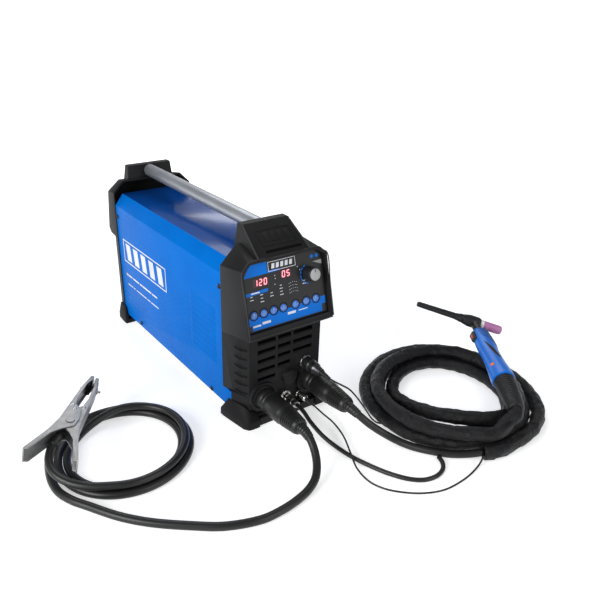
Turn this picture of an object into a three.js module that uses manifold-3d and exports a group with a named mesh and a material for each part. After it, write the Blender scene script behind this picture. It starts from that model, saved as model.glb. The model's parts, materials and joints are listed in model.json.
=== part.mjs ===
// A portable inverter TIG welding machine with its earth lead and clamp, and its torch lead and torch.
// Millimetres, +Z up. The machine stands on z = 0, its front faces -Y, and the origin is at the bottom
// centre of the machine without its leads.
import * as THREE from "three";
import Module from "manifold-3d";
import { ConvexGeometry } from "three/addons/geometries/ConvexGeometry.js";
import { mergeVertices, toCreasedNormals } from "three/addons/utils/BufferGeometryUtils.js";

const wasm = await Module();
wasm.setup();

// ---- driving dimensions ----
const GAP = 0.3; // clearance kept between neighbouring pieces
const SLIVER = 0.01; // edges shorter than this are closed up after a cut
const FRONT = -275; // front edge of the lip under the control panel
const REAR = 275; // rear edge of the rear bezel
const COVER = { half: 85, front: -194, rear: 232, bottom: 18, top: 285, cutX: 17, cutZ: 22, sheet: 1.5 };
const COVER_TAB = { front: -218, top: 52 }; // lower front corner of the cover, ahead of its front edge
const BEZEL = { half: 87, wall: 3 };
const FRONT_TOP = { z: 308, cut: 30 }; // front bezel where it meets the cover
const RIM = { topHalf: 68.6, topY: -246, topZ: 295.8, sideHalf: 83, sideY: -251.2, sideZ: 285, lipHalf: 85, lipZ: 177 };
const LOWER = { half: 73, y: -256.5, top: 166, bottom: 9 }; // front face below the lip
const REAR_TOP = { z: 311, cut: 22 };
const REAR_LOWER = 253; // rear face below the rear lip
const REAR_LIP_Z = 205;
const TOWER = { base: 50, top: 336.5 };
const TUBE = { radius: 12.5, wall: 2, z: 323, front: -193, rear: 249 };
const RECESS = 8; // depth of the control panel below its rim
const LEAN = Math.atan2(RIM.topY - FRONT, RIM.topZ - RIM.lipZ);
const SOCKET = { flange: 21, barrel: 17, bore: 7, frame: 27 };
const EARTH_AT = [-46.6, 52]; // socket axes on the lower face, as x and z
const TORCH_AT = [50, 57];
const PLUG = { radius: 19, tail: 13.5, length: 103, pin: 6.2 };
const EARTH = { diameter: 13, coil: [-280, -205], outer: 126, inner: 78, height: 28 };
const SLEEVE = { diameter: 26, coil: [278, -383], outer: 165, inner: 76, height: 44 };
const POWER_DIAMETER = 13;
const GAS_DIAMETER = 7.5;
const SIGNAL_DIAMETER = 3;
const TWIN_DIAMETER = 4;

const COLOURS = {
  blue: [0x0b6fd0, 0.35, 0.3],
  black: [0x1c1c1e, 0.6, 0],
  rubber: [0x141414, 0.8, 0],
  steel: [0x9aa0a6, 0.35, 0.9],
  aluminium: [0xb9bcc0, 0.35, 0.9],
  brass: [0xb08d4f, 0.35, 0.9],
  button: [0x2f86e0, 0.25, 0],
  board: [0x1d5a34, 0.5, 0],
  copper: [0xb4703c, 0.4, 0.8],
  pink: [0xdba7c4, 0.5, 0],
  white: [0xf2f2ee, 0.5, 0],
  red: [0x3a0c0c, 0.2, 0],
};

const machine = new THREE.Group();
machine.name = "tig_welding_machine";

function material(colour) {
  const [color, roughness, metalness] = COLOURS[colour];
  return new THREE.MeshStandardMaterial({ color, roughness, metalness });
}

function add(name, geometry, colour, parent = machine) {
  const mesh = new THREE.Mesh(geometry, material(colour));
  mesh.name = name;
  parent.add(mesh);
  return mesh;
}

// ---- solids ----
function solid(geometry) {
  const bare = geometry.clone();
  bare.deleteAttribute("normal");
  bare.deleteAttribute("uv");
  const merged = mergeVertices(bare, 1e-4);
  const mesh = new wasm.Mesh({
    numProp: 3,
    vertProperties: new Float32Array(merged.attributes.position.array),
    triVerts: new Uint32Array(merged.index.array),
  });
  return new wasm.Manifold(mesh);
}

function geometryOf(body) {
  const mesh = body.simplify(SLIVER).getMesh();
  const geometry = new THREE.BufferGeometry();
  geometry.setAttribute("position", new THREE.BufferAttribute(new Float32Array(mesh.vertProperties), 3));
  geometry.setIndex(new THREE.BufferAttribute(new Uint32Array(mesh.triVerts), 1));
  return toCreasedNormals(geometry, 0.5);
}

function union(bodies) {
  return bodies.reduce((a, b) => a.add(b));
}

function hull(points) {
  return solid(new ConvexGeometry(points.map((p) => new THREE.Vector3(...p))));
}

function box(x0, x1, y0, y1, z0, z1) {
  const geometry = new THREE.BoxGeometry(x1 - x0, y1 - y0, z1 - z0);
  return solid(geometry.translate((x0 + x1) / 2, (y0 + y1) / 2, (z0 + z1) / 2));
}

// A prism along Y from an outline of [x, z] points.
function prismY(outline, y0, y1) {
  const shape = new THREE.Shape(outline.map(([x, z]) => new THREE.Vector2(x, z)));
  const geometry = new THREE.ExtrudeGeometry(shape, { depth: y1 - y0, bevelEnabled: false });
  return solid(geometry.rotateX(Math.PI / 2).translate(0, y1, 0));
}

// A prism along Z from an outline of [x, y] points.
function prismZ(outline, z0, z1) {
  const shape = new THREE.Shape(outline.map(([x, y]) => new THREE.Vector2(x, y)));
  const geometry = new THREE.ExtrudeGeometry(shape, { depth: z1 - z0, bevelEnabled: false });
  return solid(geometry.translate(0, 0, z0));
}

// A turned solid about Z: its profile is [radius, height] points that close on themselves or the axis.
function turned(profile, sides = 24) {
  return new THREE.LatheGeometry(profile.map(([r, h]) => new THREE.Vector2(r, h)), sides).rotateX(Math.PI / 2);
}

function rod(radius, length, sides = 24) {
  return turned([[0, 0], [radius, 0], [radius, length], [0, length]], sides);
}

function ring(outer, inner, length, sides = 32) {
  return turned([[inner, 0], [outer, 0], [outer, length], [inner, length], [inner, 0]], sides);
}

// Points a turned shape's +Z along a direction and moves its foot to a place.
function aim(geometry, place, direction) {
  const turn = new THREE.Quaternion().setFromUnitVectors(
    new THREE.Vector3(0, 0, 1),
    new THREE.Vector3(...direction).normalize(),
  );
  return geometry.applyQuaternion(turn).translate(...place);
}

function rodAlong(radius, place, direction, length, sides = 24) {
  return solid(aim(rod(radius, length, sides), place, direction));
}

function mirrorX(body) {
  return body.mirror([1, 0, 0]);
}

function mirrorY(body) {
  return body.mirror([0, 1, 0]);
}

const FORWARD = [0, -1, 0];
const BACKWARD = [0, 1, 0];

// ---- sheet-metal cover: a U of thin sheet, open below and at both ends ----
function coverOutline(inset) {
  const half = COVER.half - inset;
  const top = COVER.top - inset;
  return [
    [-half, COVER.bottom],
    [half, COVER.bottom],
    [half, top - COVER.cutZ],
    [half - COVER.cutX, top],
    [-half + COVER.cutX, top],
    [-half, top - COVER.cutZ],
  ];
}

function coverSolid() {
  const outside = prismY(coverOutline(0), COVER.front, COVER.rear);
  const tabs = box(-COVER.half, COVER.half, COVER_TAB.front, COVER.front + 1, COVER.bottom, COVER_TAB.top);
  const inside = coverOutline(COVER.sheet).map(([x, z]) => [x, z === COVER.bottom ? z - 5 : z]);
  return outside.add(tabs).subtract(prismY(inside, COVER_TAB.front - 1, COVER.rear + 1));
}

// Side louvres near the front of the cover, pressed slots leaning with the sheet.
const LOUVRE = { rear: -84, front: -168, low: 86, rows: 9, pitch: 12, height: 4 };

function louvreCuts() {
  const rows = Array.from({ length: LOUVRE.rows }, (_, i) => LOUVRE.low + i * LOUVRE.pitch);
  return union(rows.map((z) => box(-90, 90, LOUVRE.front, LOUVRE.rear, z, z + LOUVRE.height)));
}

add("wrap_cover", geometryOf(coverSolid().subtract(louvreCuts())), "blue");

// ---- base tray: a shallow folded pan between the two bezels ----
const TRAY = { half: 80, front: -214, rear: 238, low: 12.4, sheet: 2, wallTop: 44 };
const tray = box(-TRAY.half, TRAY.half, TRAY.front, TRAY.rear, TRAY.low, TRAY.wallTop).subtract(
  box(-TRAY.half + TRAY.sheet, TRAY.half - TRAY.sheet, TRAY.front - 1, TRAY.rear + 1, TRAY.low + TRAY.sheet, 60),
);
add("base_tray", geometryOf(tray), "steel");

// ---- front bezel ----
// Upper part: the octagon against the cover, drawn in to the leaning rim of the control panel.
function upperFront(inset) {
  const both = [-1, 1];
  const rear = COVER.front + (inset ? 5 : 0);
  const push = inset ? RECESS + inset : 0;
  return hull(
    both.flatMap((s) => [
      [s * (BEZEL.half - inset), rear, LOWER.top - 6 + inset],
      [s * (BEZEL.half - inset), rear, FRONT_TOP.z - FRONT_TOP.cut - inset / 2],
      [s * (BEZEL.half - FRONT_TOP.cut - inset / 2), rear, FRONT_TOP.z - inset],
      [s * (RIM.topHalf - inset), RIM.topY + push, RIM.topZ - inset],
      [s * (RIM.sideHalf - inset), RIM.sideY + push, RIM.sideZ - inset / 2],
      [s * (RIM.lipHalf - inset), FRONT + push, RIM.lipZ + inset],
      [s * (RIM.lipHalf - inset - 4), FRONT + 4 + push, RIM.lipZ - 6 + inset],
    ]),
  );
}

function lowerFront(inset) {
  const both = [-1, 1];
  const rear = inset ? 6 : 0;
  const main = hull(
    both.flatMap((s) =>
      [COVER_TAB.top + GAP, LOWER.top + 20].flatMap((z) => [
        [s * (BEZEL.half - inset), COVER.front + rear, z],
        [s * (LOWER.half - inset), LOWER.y + inset, z],
      ]),
    ),
  );
  const low = hull(
    both.flatMap((s) =>
      [LOWER.bottom + inset, COVER_TAB.top + 3].flatMap((z) => [
        [s * (COVER.half - inset), COVER_TAB.front - GAP + rear, z],
        [s * (LOWER.half - inset), LOWER.y + inset, z],
      ]),
    ),
  );
  return main.add(low);
}

// Front tower: a wedge on top of the bezel, leaning back, that holds the front end of the handle tube.
const TOWER_FRONT = { half: 44, foot: -248, crest: -192, back: -178 };

function frontTower(inset) {
  const both = [-1, 1];
  const drop = inset ? 20 : 2;
  return hull(
    both.flatMap((s) => [
      [s * (TOWER.base - inset), TOWER_FRONT.foot + 2 * inset, RIM.topZ - drop],
      [s * (TOWER.base - inset), TOWER_FRONT.foot + 2 * inset, RIM.topZ + 1 - inset],
      [s * (TOWER.base - inset), TOWER_FRONT.back - inset, FRONT_TOP.z - drop - 4],
      [s * (TOWER_FRONT.half - inset), TOWER_FRONT.crest + inset, TOWER.top - inset],
      [s * (TOWER_FRONT.half - inset), TOWER_FRONT.back - inset, TOWER.top - inset],
    ]),
  );
}

// Louvred grille of the lower face: rows of slots that slope down to the front.
const GRILLE = { rows: 5, low: 84, pitch: 17.7, height: 9, drop: 6, columns: [[-56, -20], [-15.5, 11.5], [16, 56]] };

function grilleCuts() {
  const cuts = [];
  for (let row = 0; row < GRILLE.rows; row += 1) {
    const z = GRILLE.low + row * GRILLE.pitch;
    for (const [x0, x1] of GRILLE.columns) {
      // the lowest row is cut short around the connectors
      if ((row > 0 || x0 < -50) && !(row === 1 && x0 > 0)) {
        cuts.push(
          hull([x0, x1].flatMap((x) => [
            [x, LOWER.y - 2, z - GRILLE.drop],
            [x, LOWER.y - 2, z + GRILLE.height - GRILLE.drop],
            [x, LOWER.y + 8, z],
            [x, LOWER.y + 8, z + GRILLE.height],
          ])),
        );
      }
    }
  }
  return union(cuts);
}

// Places on the control panel are (x, up from the lip, out from the rim plane).
const panel = new THREE.Group();
panel.position.set(0, FRONT, RIM.lipZ);
panel.rotation.x = Math.PI / 2 - LEAN;
machine.add(panel);
panel.updateMatrixWorld(true);

function toPanel(body) {
  const e = panel.matrixWorld.elements;
  return body.transform([...e]);
}

const PANEL = { low: 8, high: 117.5, halfLow: 80, halfHigh: 79.5, cornerX: 64, cornerUp: 107 };

function panelOutline(inset) {
  return [
    [-PANEL.halfLow + inset, PANEL.low + inset],
    [PANEL.halfLow - inset, PANEL.low + inset],
    [PANEL.halfHigh - inset, PANEL.cornerUp - inset / 2],
    [PANEL.cornerX - inset / 2, PANEL.high - inset],
    [-PANEL.cornerX + inset / 2, PANEL.high - inset],
    [-PANEL.halfHigh + inset, PANEL.cornerUp - inset / 2],
  ];
}

function panelRecess() {
  const recess = prismZ(panelOutline(0), -RECESS, 30);
  const window = prismZ([[-74, 17], [74, 17], [74, 104], [-74, 104]], -RECESS - 20, 1);
  return toPanel(recess.add(window));
}

// Moulded collar that frames a current socket on the lower face.
function socketFrame([x, z]) {
  const collar = solid(aim(ring(SOCKET.frame, SOCKET.flange + 1, 7), [x, LOWER.y + 1, z], FORWARD));
  return collar.intersect(box(-LOWER.half, LOWER.half, -280, -240, 0, 100));
}

const GAS = { x: -3, z: 40 };
const REMOTE = { x: 27, z: 33 };
const CONTROL = { x: 42, z: 92 };
const SPARE = { x: 7, z: 74, radius: 13.5, depth: 9 }; // moulded blank where some models have a socket

function frontBezel() {
  const outer = union([
    upperFront(0),
    lowerFront(0),
    frontTower(0),
    socketFrame(EARTH_AT),
    socketFrame(TORCH_AT),
    rodAlong(SPARE.radius, [SPARE.x, LOWER.y + 1, SPARE.z], FORWARD, SPARE.depth, 24),
    box(-58, 58, -268, LOWER.y + 1, 1, 15),
    box(-58, 58, LOWER.y - 4, LOWER.y + 1, 1, 20),
  ]);
  const holes = [
    rodAlong(SOCKET.barrel + 1, [EARTH_AT[0], -240, EARTH_AT[1]], FORWARD, 30),
    rodAlong(SOCKET.barrel + 1, [TORCH_AT[0], -240, TORCH_AT[1]], FORWARD, 30),
    rodAlong(7.5, [REMOTE.x, LOWER.y, REMOTE.z], FORWARD, 30, 16),
    rodAlong(12.5, [CONTROL.x, LOWER.y, CONTROL.z], FORWARD, 30, 20),
    rodAlong(7, [GAS.x, -240, GAS.z], FORWARD, 30, 16),
    rodAlong(4.6, [REMOTE.x, -240, REMOTE.z], FORWARD, 30, 16),
    rodAlong(9.5, [CONTROL.x, -240, CONTROL.z], FORWARD, 30, 20),
    rodAlong(TUBE.radius + GAP, [0, TUBE.front - GAP, TUBE.z], BACKWARD, 40, 32),
  ];
  return outer
    .subtract(upperFront(BEZEL.wall))
    .subtract(lowerFront(BEZEL.wall))
    .subtract(frontTower(BEZEL.wall).subtract(box(-19, 19, -260, -150, 300, 340)))
    .subtract(panelRecess())
    .subtract(grilleCuts())
    .subtract(union(holes));
}

add("front_bezel", geometryOf(frontBezel()), "black");

// ---- rear bezel ----
function rearUpper(inset) {
  const both = [-1, 1];
  const front = COVER.rear - (inset ? 5 : 0);
  return hull(
    both.flatMap((s) => [
      [s * (BEZEL.half - inset), front, REAR_LIP_Z - 14 + inset],
      [s * (BEZEL.half - inset), front, REAR_TOP.z - REAR_TOP.cut - inset / 2],
      [s * (BEZEL.half - REAR_TOP.cut - inset / 2), front, REAR_TOP.z - inset],
      [s * (BEZEL.half - REAR_TOP.cut - 4 - inset), 264 - inset, REAR_TOP.z - 5 - inset],
      [s * (BEZEL.half - 2 - inset), 267 - inset, 284 - inset],
      [s * (BEZEL.half - inset), REAR - inset, REAR_LIP_Z + inset],
      [s * (BEZEL.half - inset), REAR - 8 - inset, REAR_LIP_Z - 10 + inset],
    ]),
  );
}

function rearLower(inset) {
  const front = COVER.rear - (inset ? 5 : 0);
  return hull(
    [-1, 1].flatMap((s) =>
      [LOWER.bottom + inset, REAR_LIP_Z].flatMap((z) => [
        [s * (BEZEL.half - inset), front, z],
        [s * (BEZEL.half - 3 - inset), REAR_LOWER - inset, z],
      ]),
    ),
  );
}

const TOWER_REAR = { half: 47, front: 238, back: 262 };

function rearTower(inset) {
  const drop = inset ? 20 : 3;
  return hull(
    [-1, 1].flatMap((s) => [
      [s * (TOWER.base - inset), TOWER_REAR.front + inset, REAR_TOP.z - drop],
      [s * (TOWER.base - inset), TOWER_REAR.back - inset, REAR_TOP.z - drop - 4],
      [s * (TOWER_REAR.half - inset), TOWER_REAR.front + 2 + inset, TOWER.top - inset],
      [s * (TOWER_REAR.half - inset), TOWER_REAR.back - 6 - inset, TOWER.top - inset],
    ]),
  );
}

const FAN = { size: 120, depth: 32, z: 108, y: 216, bladeRadius: 53 };
const SWITCH = { x: -44, z: 246 };
const GLAND = { x: 44, z: 246 };
const INLET = { x: 0, z: 246 };

// Curved slots of the rear fan grille, in rings around the fan's centre.
function fanGrilleCuts() {
  const rings = [[20, 27], [33, 40], [46, 53]];
  const bars = [0, 1].map((i) => {
    const bar = box(-4, 4, 240, 260, FAN.z - 60, FAN.z + 60);
    return bar.translate([0, 0, -FAN.z]).rotate([0, 45 + 90 * i, 0]).translate([0, 0, FAN.z]);
  });
  const cuts = rings.map(([inner, outer]) => solid(aim(ring(outer, inner, 20), [0, 242, FAN.z], BACKWARD)));
  return union(cuts).subtract(union(bars));
}

// The rear face above the lip leans, so its holes are cut square to the machine's length.
function rearBezel() {
  const outer = union([rearUpper(0), rearLower(0), rearTower(0), box(-58, 58, REAR_LOWER - 1, 262, 1, 15)]);
  const holes = [
    box(SWITCH.x - 11, SWITCH.x + 11, 255, 285, SWITCH.z - 7, SWITCH.z + 7),
    rodAlong(10, [GLAND.x, 255, GLAND.z], BACKWARD, 30, 20),
    rodAlong(6.5, [INLET.x, 255, INLET.z], BACKWARD, 30, 16),
    rodAlong(TUBE.radius + GAP, [0, TUBE.rear + GAP, TUBE.z], FORWARD, 40, 32),
  ];
  return outer
    .subtract(rearUpper(BEZEL.wall))
    .subtract(rearLower(BEZEL.wall))
    .subtract(rearTower(BEZEL.wall).subtract(box(-19, 19, 220, 280, 300, 340)))
    .subtract(fanGrilleCuts())
    .subtract(union(holes));
}

add("rear_bezel", geometryOf(rearBezel()), "black");

// ---- handle tube ----
const tubeLength = TUBE.rear - TUBE.front;
const tube = aim(ring(TUBE.radius, TUBE.radius - TUBE.wall, tubeLength), [0, TUBE.front, TUBE.z], BACKWARD);
add("handle_tube", tube, "aluminium");

// ---- corner feet: flared skirts that the machine stands on ----
// The body's own outline, a little larger, is cut out of each foot.
const footClear = hull(
  [-1, 1].flatMap((s) =>
    [LOWER.bottom - GAP, 60].flatMap((z) => [
      [s * (BEZEL.half + GAP), COVER.front - 10, z],
      [s * (COVER.half + 2 * GAP), COVER_TAB.front, z],
      [s * (LOWER.half + GAP), LOWER.y - GAP, z],
      [s * (BEZEL.half + GAP), COVER.rear + 10, z],
      [s * (BEZEL.half - 3 + GAP), REAR_LOWER + GAP, z],
    ]),
  ),
)
  .add(box(-60, 60, -280, 280, -1, 60))
  .add(box(-COVER.half - GAP, COVER.half + GAP, COVER_TAB.front - GAP, COVER.rear, COVER.bottom - GAP, 60));

function frontFoot() {
  const blank = hull([
    [95, -197, 0],
    [95, -208, 0],
    [87, -261, 0],
    [82, -269, 0],
    [75, -271, 0],
    [58, -271, 0],
    [58, -205, 0],
    [66, -197, 0],
    [95, -198, 13],
    [95, -208, 13],
    [87, -261, 13],
    [82, -269, 14],
    [75, -270, 14],
    [58, -270, 14],
    [87, -212, 37],
    [79, -250, 37],
    [74, -259, 30],
    [60, -262, 24],
    [60, -212, 24],
  ]);
  return blank.subtract(footClear);
}

function rearFoot() {
  const blank = hull([
    [94, 212, 0],
    [95, 220, 0],
    [93, 252, 0],
    [84, 264, 0],
    [58, 264, 0],
    [58, 218, 0],
    [66, 212, 0],
    [94, 213, 13],
    [95, 220, 13],
    [93, 252, 13],
    [84, 263, 13],
    [58, 263, 13],
    [88, 224, 37],
    [88, 250, 37],
    [82, 257, 30],
    [60, 257, 24],
    [60, 220, 24],
  ]);
  return blank.subtract(footClear);
}

add("foot_front_right", geometryOf(frontFoot()), "rubber");
add("foot_front_left", geometryOf(mirrorX(frontFoot())), "rubber");
add("foot_rear_right", geometryOf(rearFoot()), "rubber");
add("foot_rear_left", geometryOf(mirrorX(rearFoot())), "rubber");

// ---- control panel ----
const OVERLAY = { back: -RECESS + GAP, face: -6.2 };
const BUTTON = { radius: 6.6, up: 36, dome: 3.4, stem: 3, foot: -20.4, travel: 1.2 };
const BUTTON_X = [-66, -47, -28, -9, 15, 37, 57];
const KNOB = { x: 48, up: 80, radius: 12.5, face: 12, shaft: 3 };
const DISPLAYS = [
  { name: "display_current", x: -46, up: 86, width: 30, height: 14 },
  { name: "display_function", x: 3, up: 90, width: 21, height: 13 },
];

const overlayHoles = [
  ...BUTTON_X.map((x) => solid(rod(BUTTON.radius + 0.6, 6, 20).translate(x, BUTTON.up, -10))),
  solid(rod(KNOB.shaft + 1, 6, 16).translate(KNOB.x, KNOB.up, -10)),
  ...DISPLAYS.map((d) => {
    const [w, h] = [d.width / 2 + GAP, d.height / 2 + GAP];
    return box(d.x - w, d.x + w, d.up - h, d.up + h, -12, 0);
  }),
];
const overlay = prismZ(panelOutline(1), OVERLAY.back, OVERLAY.face).subtract(union(overlayHoles));
add("control_overlay", geometryOf(overlay), "black", panel);

for (const d of DISPLAYS) {
  const glass = new THREE.BoxGeometry(d.width, d.height, 7).translate(d.x, d.up, OVERLAY.face - 3.4);
  add(d.name, glass, "red", panel);
}

// A push button: a domed cap on a stem that reaches back to its switch.
function buttonGeometry() {
  const arc = Array.from({ length: 5 }, (_, i) => {
    const a = (i / 4) * (Math.PI / 2);
    return [BUTTON.radius * Math.cos(a), OVERLAY.face + BUTTON.dome * Math.sin(a)];
  });
  arc[arc.length - 1][0] = 0;
  return turned([[0, BUTTON.foot], [BUTTON.stem, BUTTON.foot], [BUTTON.stem, -12], [BUTTON.radius, -12], ...arc], 16);
}

BUTTON_X.forEach((x, i) => {
  add(`push_button_${i + 1}`, buttonGeometry().translate(x, BUTTON.up, 0), "button", panel);
});

const knobProfile = [
  [0, -19],
  [KNOB.shaft, -19],
  [KNOB.shaft, OVERLAY.face + 0.6],
  [KNOB.radius + 1, OVERLAY.face + 0.6],
  [KNOB.radius + 1, OVERLAY.face + 3],
  [KNOB.radius, OVERLAY.face + 3.5],
  [KNOB.radius - 0.6, KNOB.face - 1],
  [KNOB.radius - 1.6, KNOB.face],
  [0, KNOB.face],
];
add("encoder_knob", turned(knobProfile, 32).translate(KNOB.x, KNOB.up, 0), "black", panel);

const board = box(-72, 72, 8, 106, -24, -22.4).add(box(KNOB.x - 7, KNOB.x + 7, KNOB.up - 7, KNOB.up + 7, -23, -19.5));
add("control_board", geometryOf(board.subtract(box(-80, 80, 0, 7.9, -40, 0))), "board", panel);

// ---- front connectors ----
// Current socket: a flanged body with a bore for the plug's pin.
function socketGeometry() {
  return turned([
    [SOCKET.bore, 0],
    [SOCKET.barrel, 0],
    [SOCKET.barrel, 30],
    [SOCKET.flange, 30],
    [SOCKET.flange, 35],
    [SOCKET.flange - 2, 36.5],
    [SOCKET.bore, 36.5],
    [SOCKET.bore, 0],
  ]);
}

const SOCKET_BACK = LOWER.y - GAP + 30;
const SOCKET_FACE = SOCKET_BACK - 36.5;
add("earth_socket", aim(socketGeometry(), [EARTH_AT[0], SOCKET_BACK, EARTH_AT[1]], FORWARD), "black");
add("torch_socket", aim(socketGeometry(), [TORCH_AT[0], SOCKET_BACK, TORCH_AT[1]], FORWARD), "black");

// A threaded outlet: a hexagon flange, a body through the face, and a barbed tail for the hose.
const gasProfile = [[0, 0], [6.5, 0], [6.5, 22], [10.5, 22], [10.5, 30], [7, 30], [7, 36], [5.5, 38], [5.5, 56], [0, 56]];
const GAS_BACK = LOWER.y - GAP + 22;
const GAS_END = GAS_BACK - 56;
add("gas_outlet", aim(turned(gasProfile, 12), [GAS.x, GAS_BACK, GAS.z], FORWARD), "brass");

const remoteProfile = [[0, 0], [4.2, 0], [4.2, 20], [7, 20], [7, 27], [6, 28], [6, 44], [4, 48], [0, 48]];
const REMOTE_BACK = LOWER.y - GAP + 20;
const REMOTE_END = REMOTE_BACK - 48;
add("remote_connector", aim(turned(remoteProfile, 16), [REMOTE.x, REMOTE_BACK, REMOTE.z], FORWARD), "steel");

const CONTROL_BACK = LOWER.y - GAP + 22;
const controlProfile = [[0, 0], [9, 0], [9, 22], [12, 22], [12, 26], [9, 26], [9, 30], [0, 30]];
add("control_socket", aim(turned(controlProfile, 20), [CONTROL.x, CONTROL_BACK, CONTROL.z], FORWARD), "steel");
const controlPlugProfile = [
  [9.4, -3.5],
  [11.5, -3.5],
  [11.5, 12],
  [10.5, 13],
  [10.5, 24],
  [8, 28],
  [6.5, 40],
  [0, 40],
  [0, 0.4],
  [9.4, 0.4],
  [9.4, -3.5],
];
const CONTROL_FACE = CONTROL_BACK - 30;
const CONTROL_END = CONTROL_FACE - 40;
add("control_plug", aim(turned(controlPlugProfile, 20), [CONTROL.x, CONTROL_FACE, CONTROL.z], FORWARD), "steel");

// ---- rear fittings ----
// The leaning rear face at a height, found between its lip and its upper edge.
function rearFaceY(z) {
  return REAR + ((z - REAR_LIP_Z) / (284 - REAR_LIP_Z)) * (267 - REAR);
}

const switchFrame = box(SWITCH.x - 10.5, SWITCH.x + 10.5, 255, rearFaceY(SWITCH.z) + 1.2, SWITCH.z - 6.5, SWITCH.z + 6.5)
  .subtract(box(SWITCH.x - 8.5, SWITCH.x + 8.5, 262, 285, SWITCH.z - 5, SWITCH.z + 5));
add("switch_frame", geometryOf(switchFrame), "black");
const SWITCH_AXIS = 270;
const rocker = prismZ(
  [[-7.8, -1], [-7.8, 3.2], [0, 1.8], [7.8, 3.2], [7.8, -1], [3, -4.5], [-3, -4.5]],
  -4.4,
  4.4,
);
const SWITCH_TILT = -10; // the rocker lies in its off position
add("power_switch", geometryOf(rocker.rotate([0, 0, SWITCH_TILT]).translate([SWITCH.x, SWITCH_AXIS, SWITCH.z])), "red");

const glandProfile = [
  [5.5, 0], [9.5, 0], [9.5, 17], [15, 17], [15, 23], [13, 23], [13, 31], [9, 35], [5.5, 35], [5.5, 0],
];
add("mains_gland", aim(turned(glandProfile, 12), [GLAND.x, 256, GLAND.z], BACKWARD), "black");
const inletProfile = [[0, 0], [6, 0], [6, 16], [10, 16], [10, 23], [5, 23], [5, 30], [0, 30]];
add("gas_inlet", aim(turned(inletProfile, 12), [INLET.x, 256, INLET.z], BACKWARD), "brass");

// ---- inside ----
const FAN_BACK = FAN.y + FAN.depth;
const fanFrame = box(-60, 60, FAN.y, FAN_BACK, FAN.z - 60, FAN.z + 60)
  .subtract(rodAlong(56, [0, FAN.y - 1, FAN.z], BACKWARD, FAN.depth + 2, 40))
  .add(box(-58, 58, FAN.y, FAN.y + 3, FAN.z - 4, FAN.z + 4))
  .add(rodAlong(16, [0, FAN.y, FAN.z], BACKWARD, 5, 20));
add("fan_frame", geometryOf(fanFrame), "black");

function fanRotor() {
  const hub = rodAlong(18, [0, FAN.y + 6, FAN.z], BACKWARD, 22, 24);
  const blades = Array.from({ length: 7 }, (_, i) => {
    const blade = new THREE.BoxGeometry(38, 20, 2.4).rotateX(0.7).translate(34, FAN.y + 17, 0);
    return solid(blade.rotateY((i / 7) * 2 * Math.PI).translate(0, 0, FAN.z));
  });
  return union([hub, ...blades]);
}

add("fan_rotor", geometryOf(fanRotor()), "black");

// Finned heat sink that the power devices are screwed to.
const BOARD_UNDER = 122;
const SINK = { half: 34, front: -60, rear: 190, low: 60, high: 108, fins: 7 };
function heatSink() {
  const base = box(-SINK.half, SINK.half, SINK.front, SINK.rear, SINK.high - 8, SINK.high);
  const step = (2 * SINK.half - 2) / (SINK.fins - 1);
  const fins = Array.from({ length: SINK.fins }, (_, i) => {
    const x = -SINK.half + i * step;
    return box(x, x + 2, SINK.front, SINK.rear, SINK.low, SINK.high - 7);
  });
  const posts = [-1, 1].flatMap((s) =>
    [-40, 170].map((y) => box(s * 28 - 3, s * 28 + 3, y, y + 6, SINK.high - 1, BOARD_UNDER - GAP)),
  );
  const legs = [SINK.front + 20, SINK.rear - 30].map((y) =>
    box(-SINK.half, SINK.half, y, y + 10, TRAY.low + TRAY.sheet + GAP, SINK.low + 1),
  );
  return union([base, ...fins, ...posts, ...legs]);
}

add("heat_sink", geometryOf(heatSink()), "aluminium");
add("power_board", geometryOf(box(-76, 76, -70, 196, 122, 124)), "board");
add("main_transformer", geometryOf(box(-34, 34, -40, 30, 124 + GAP, 178)), "copper");
add("output_inductor", aim(ring(36, 16, 34, 28), [0, 75, 165], FORWARD), "copper");
add("bulk_capacitor", rod(22, 70, 20).translate(-38, 140, BOARD_UNDER + 2 + GAP), "black");
const valve = box(-17, 17, -150, -112, TRAY.low + TRAY.sheet + GAP, 54).add(rodAlong(6, [0, -160, 36], FORWARD, 34, 12).translate([0, 20, 0]));
add("gas_valve", geometryOf(valve), "brass");

// ---- plugs on the leads ----
function plugGeometry() {
  const { radius, tail, length, pin } = PLUG;
  return turned([
    [0, -24],
    [pin, -24],
    [pin, 0],
    [radius - 2, 0],
    [radius, 2],
    [radius, 58],
    [radius - 1.5, 60],
    [radius - 2.5, 64],
    [tail + 2, 84],
    [tail, length - 3],
    [tail - 2, length],
    [0, length],
  ]);
}

const PLUG_FACE = SOCKET_FACE - GAP;
const PLUG_END = PLUG_FACE - PLUG.length;
add("earth_plug", aim(plugGeometry(), [EARTH_AT[0], PLUG_FACE, EARTH_AT[1]], FORWARD), "rubber");
add("torch_plug", aim(plugGeometry(), [TORCH_AT[0], PLUG_FACE, TORCH_AT[1]], FORWARD), "rubber");

// ---- leads: plain tubes along their routes, and the outer shape of each coil ----
function cord(points, diameter, sides, spacing) {
  const curve = new THREE.CatmullRomCurve3(points.map((p) => new THREE.Vector3(...p)), false, "centripetal");
  const section = new THREE.Shape();
  section.absarc(0, 0, diameter / 2, 0, 2 * Math.PI);
  const steps = Math.ceil(curve.getLength() / spacing);
  return new THREE.ExtrudeGeometry(section, { steps, extrudePath: curve, curveSegments: sides / 2 });
}

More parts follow.
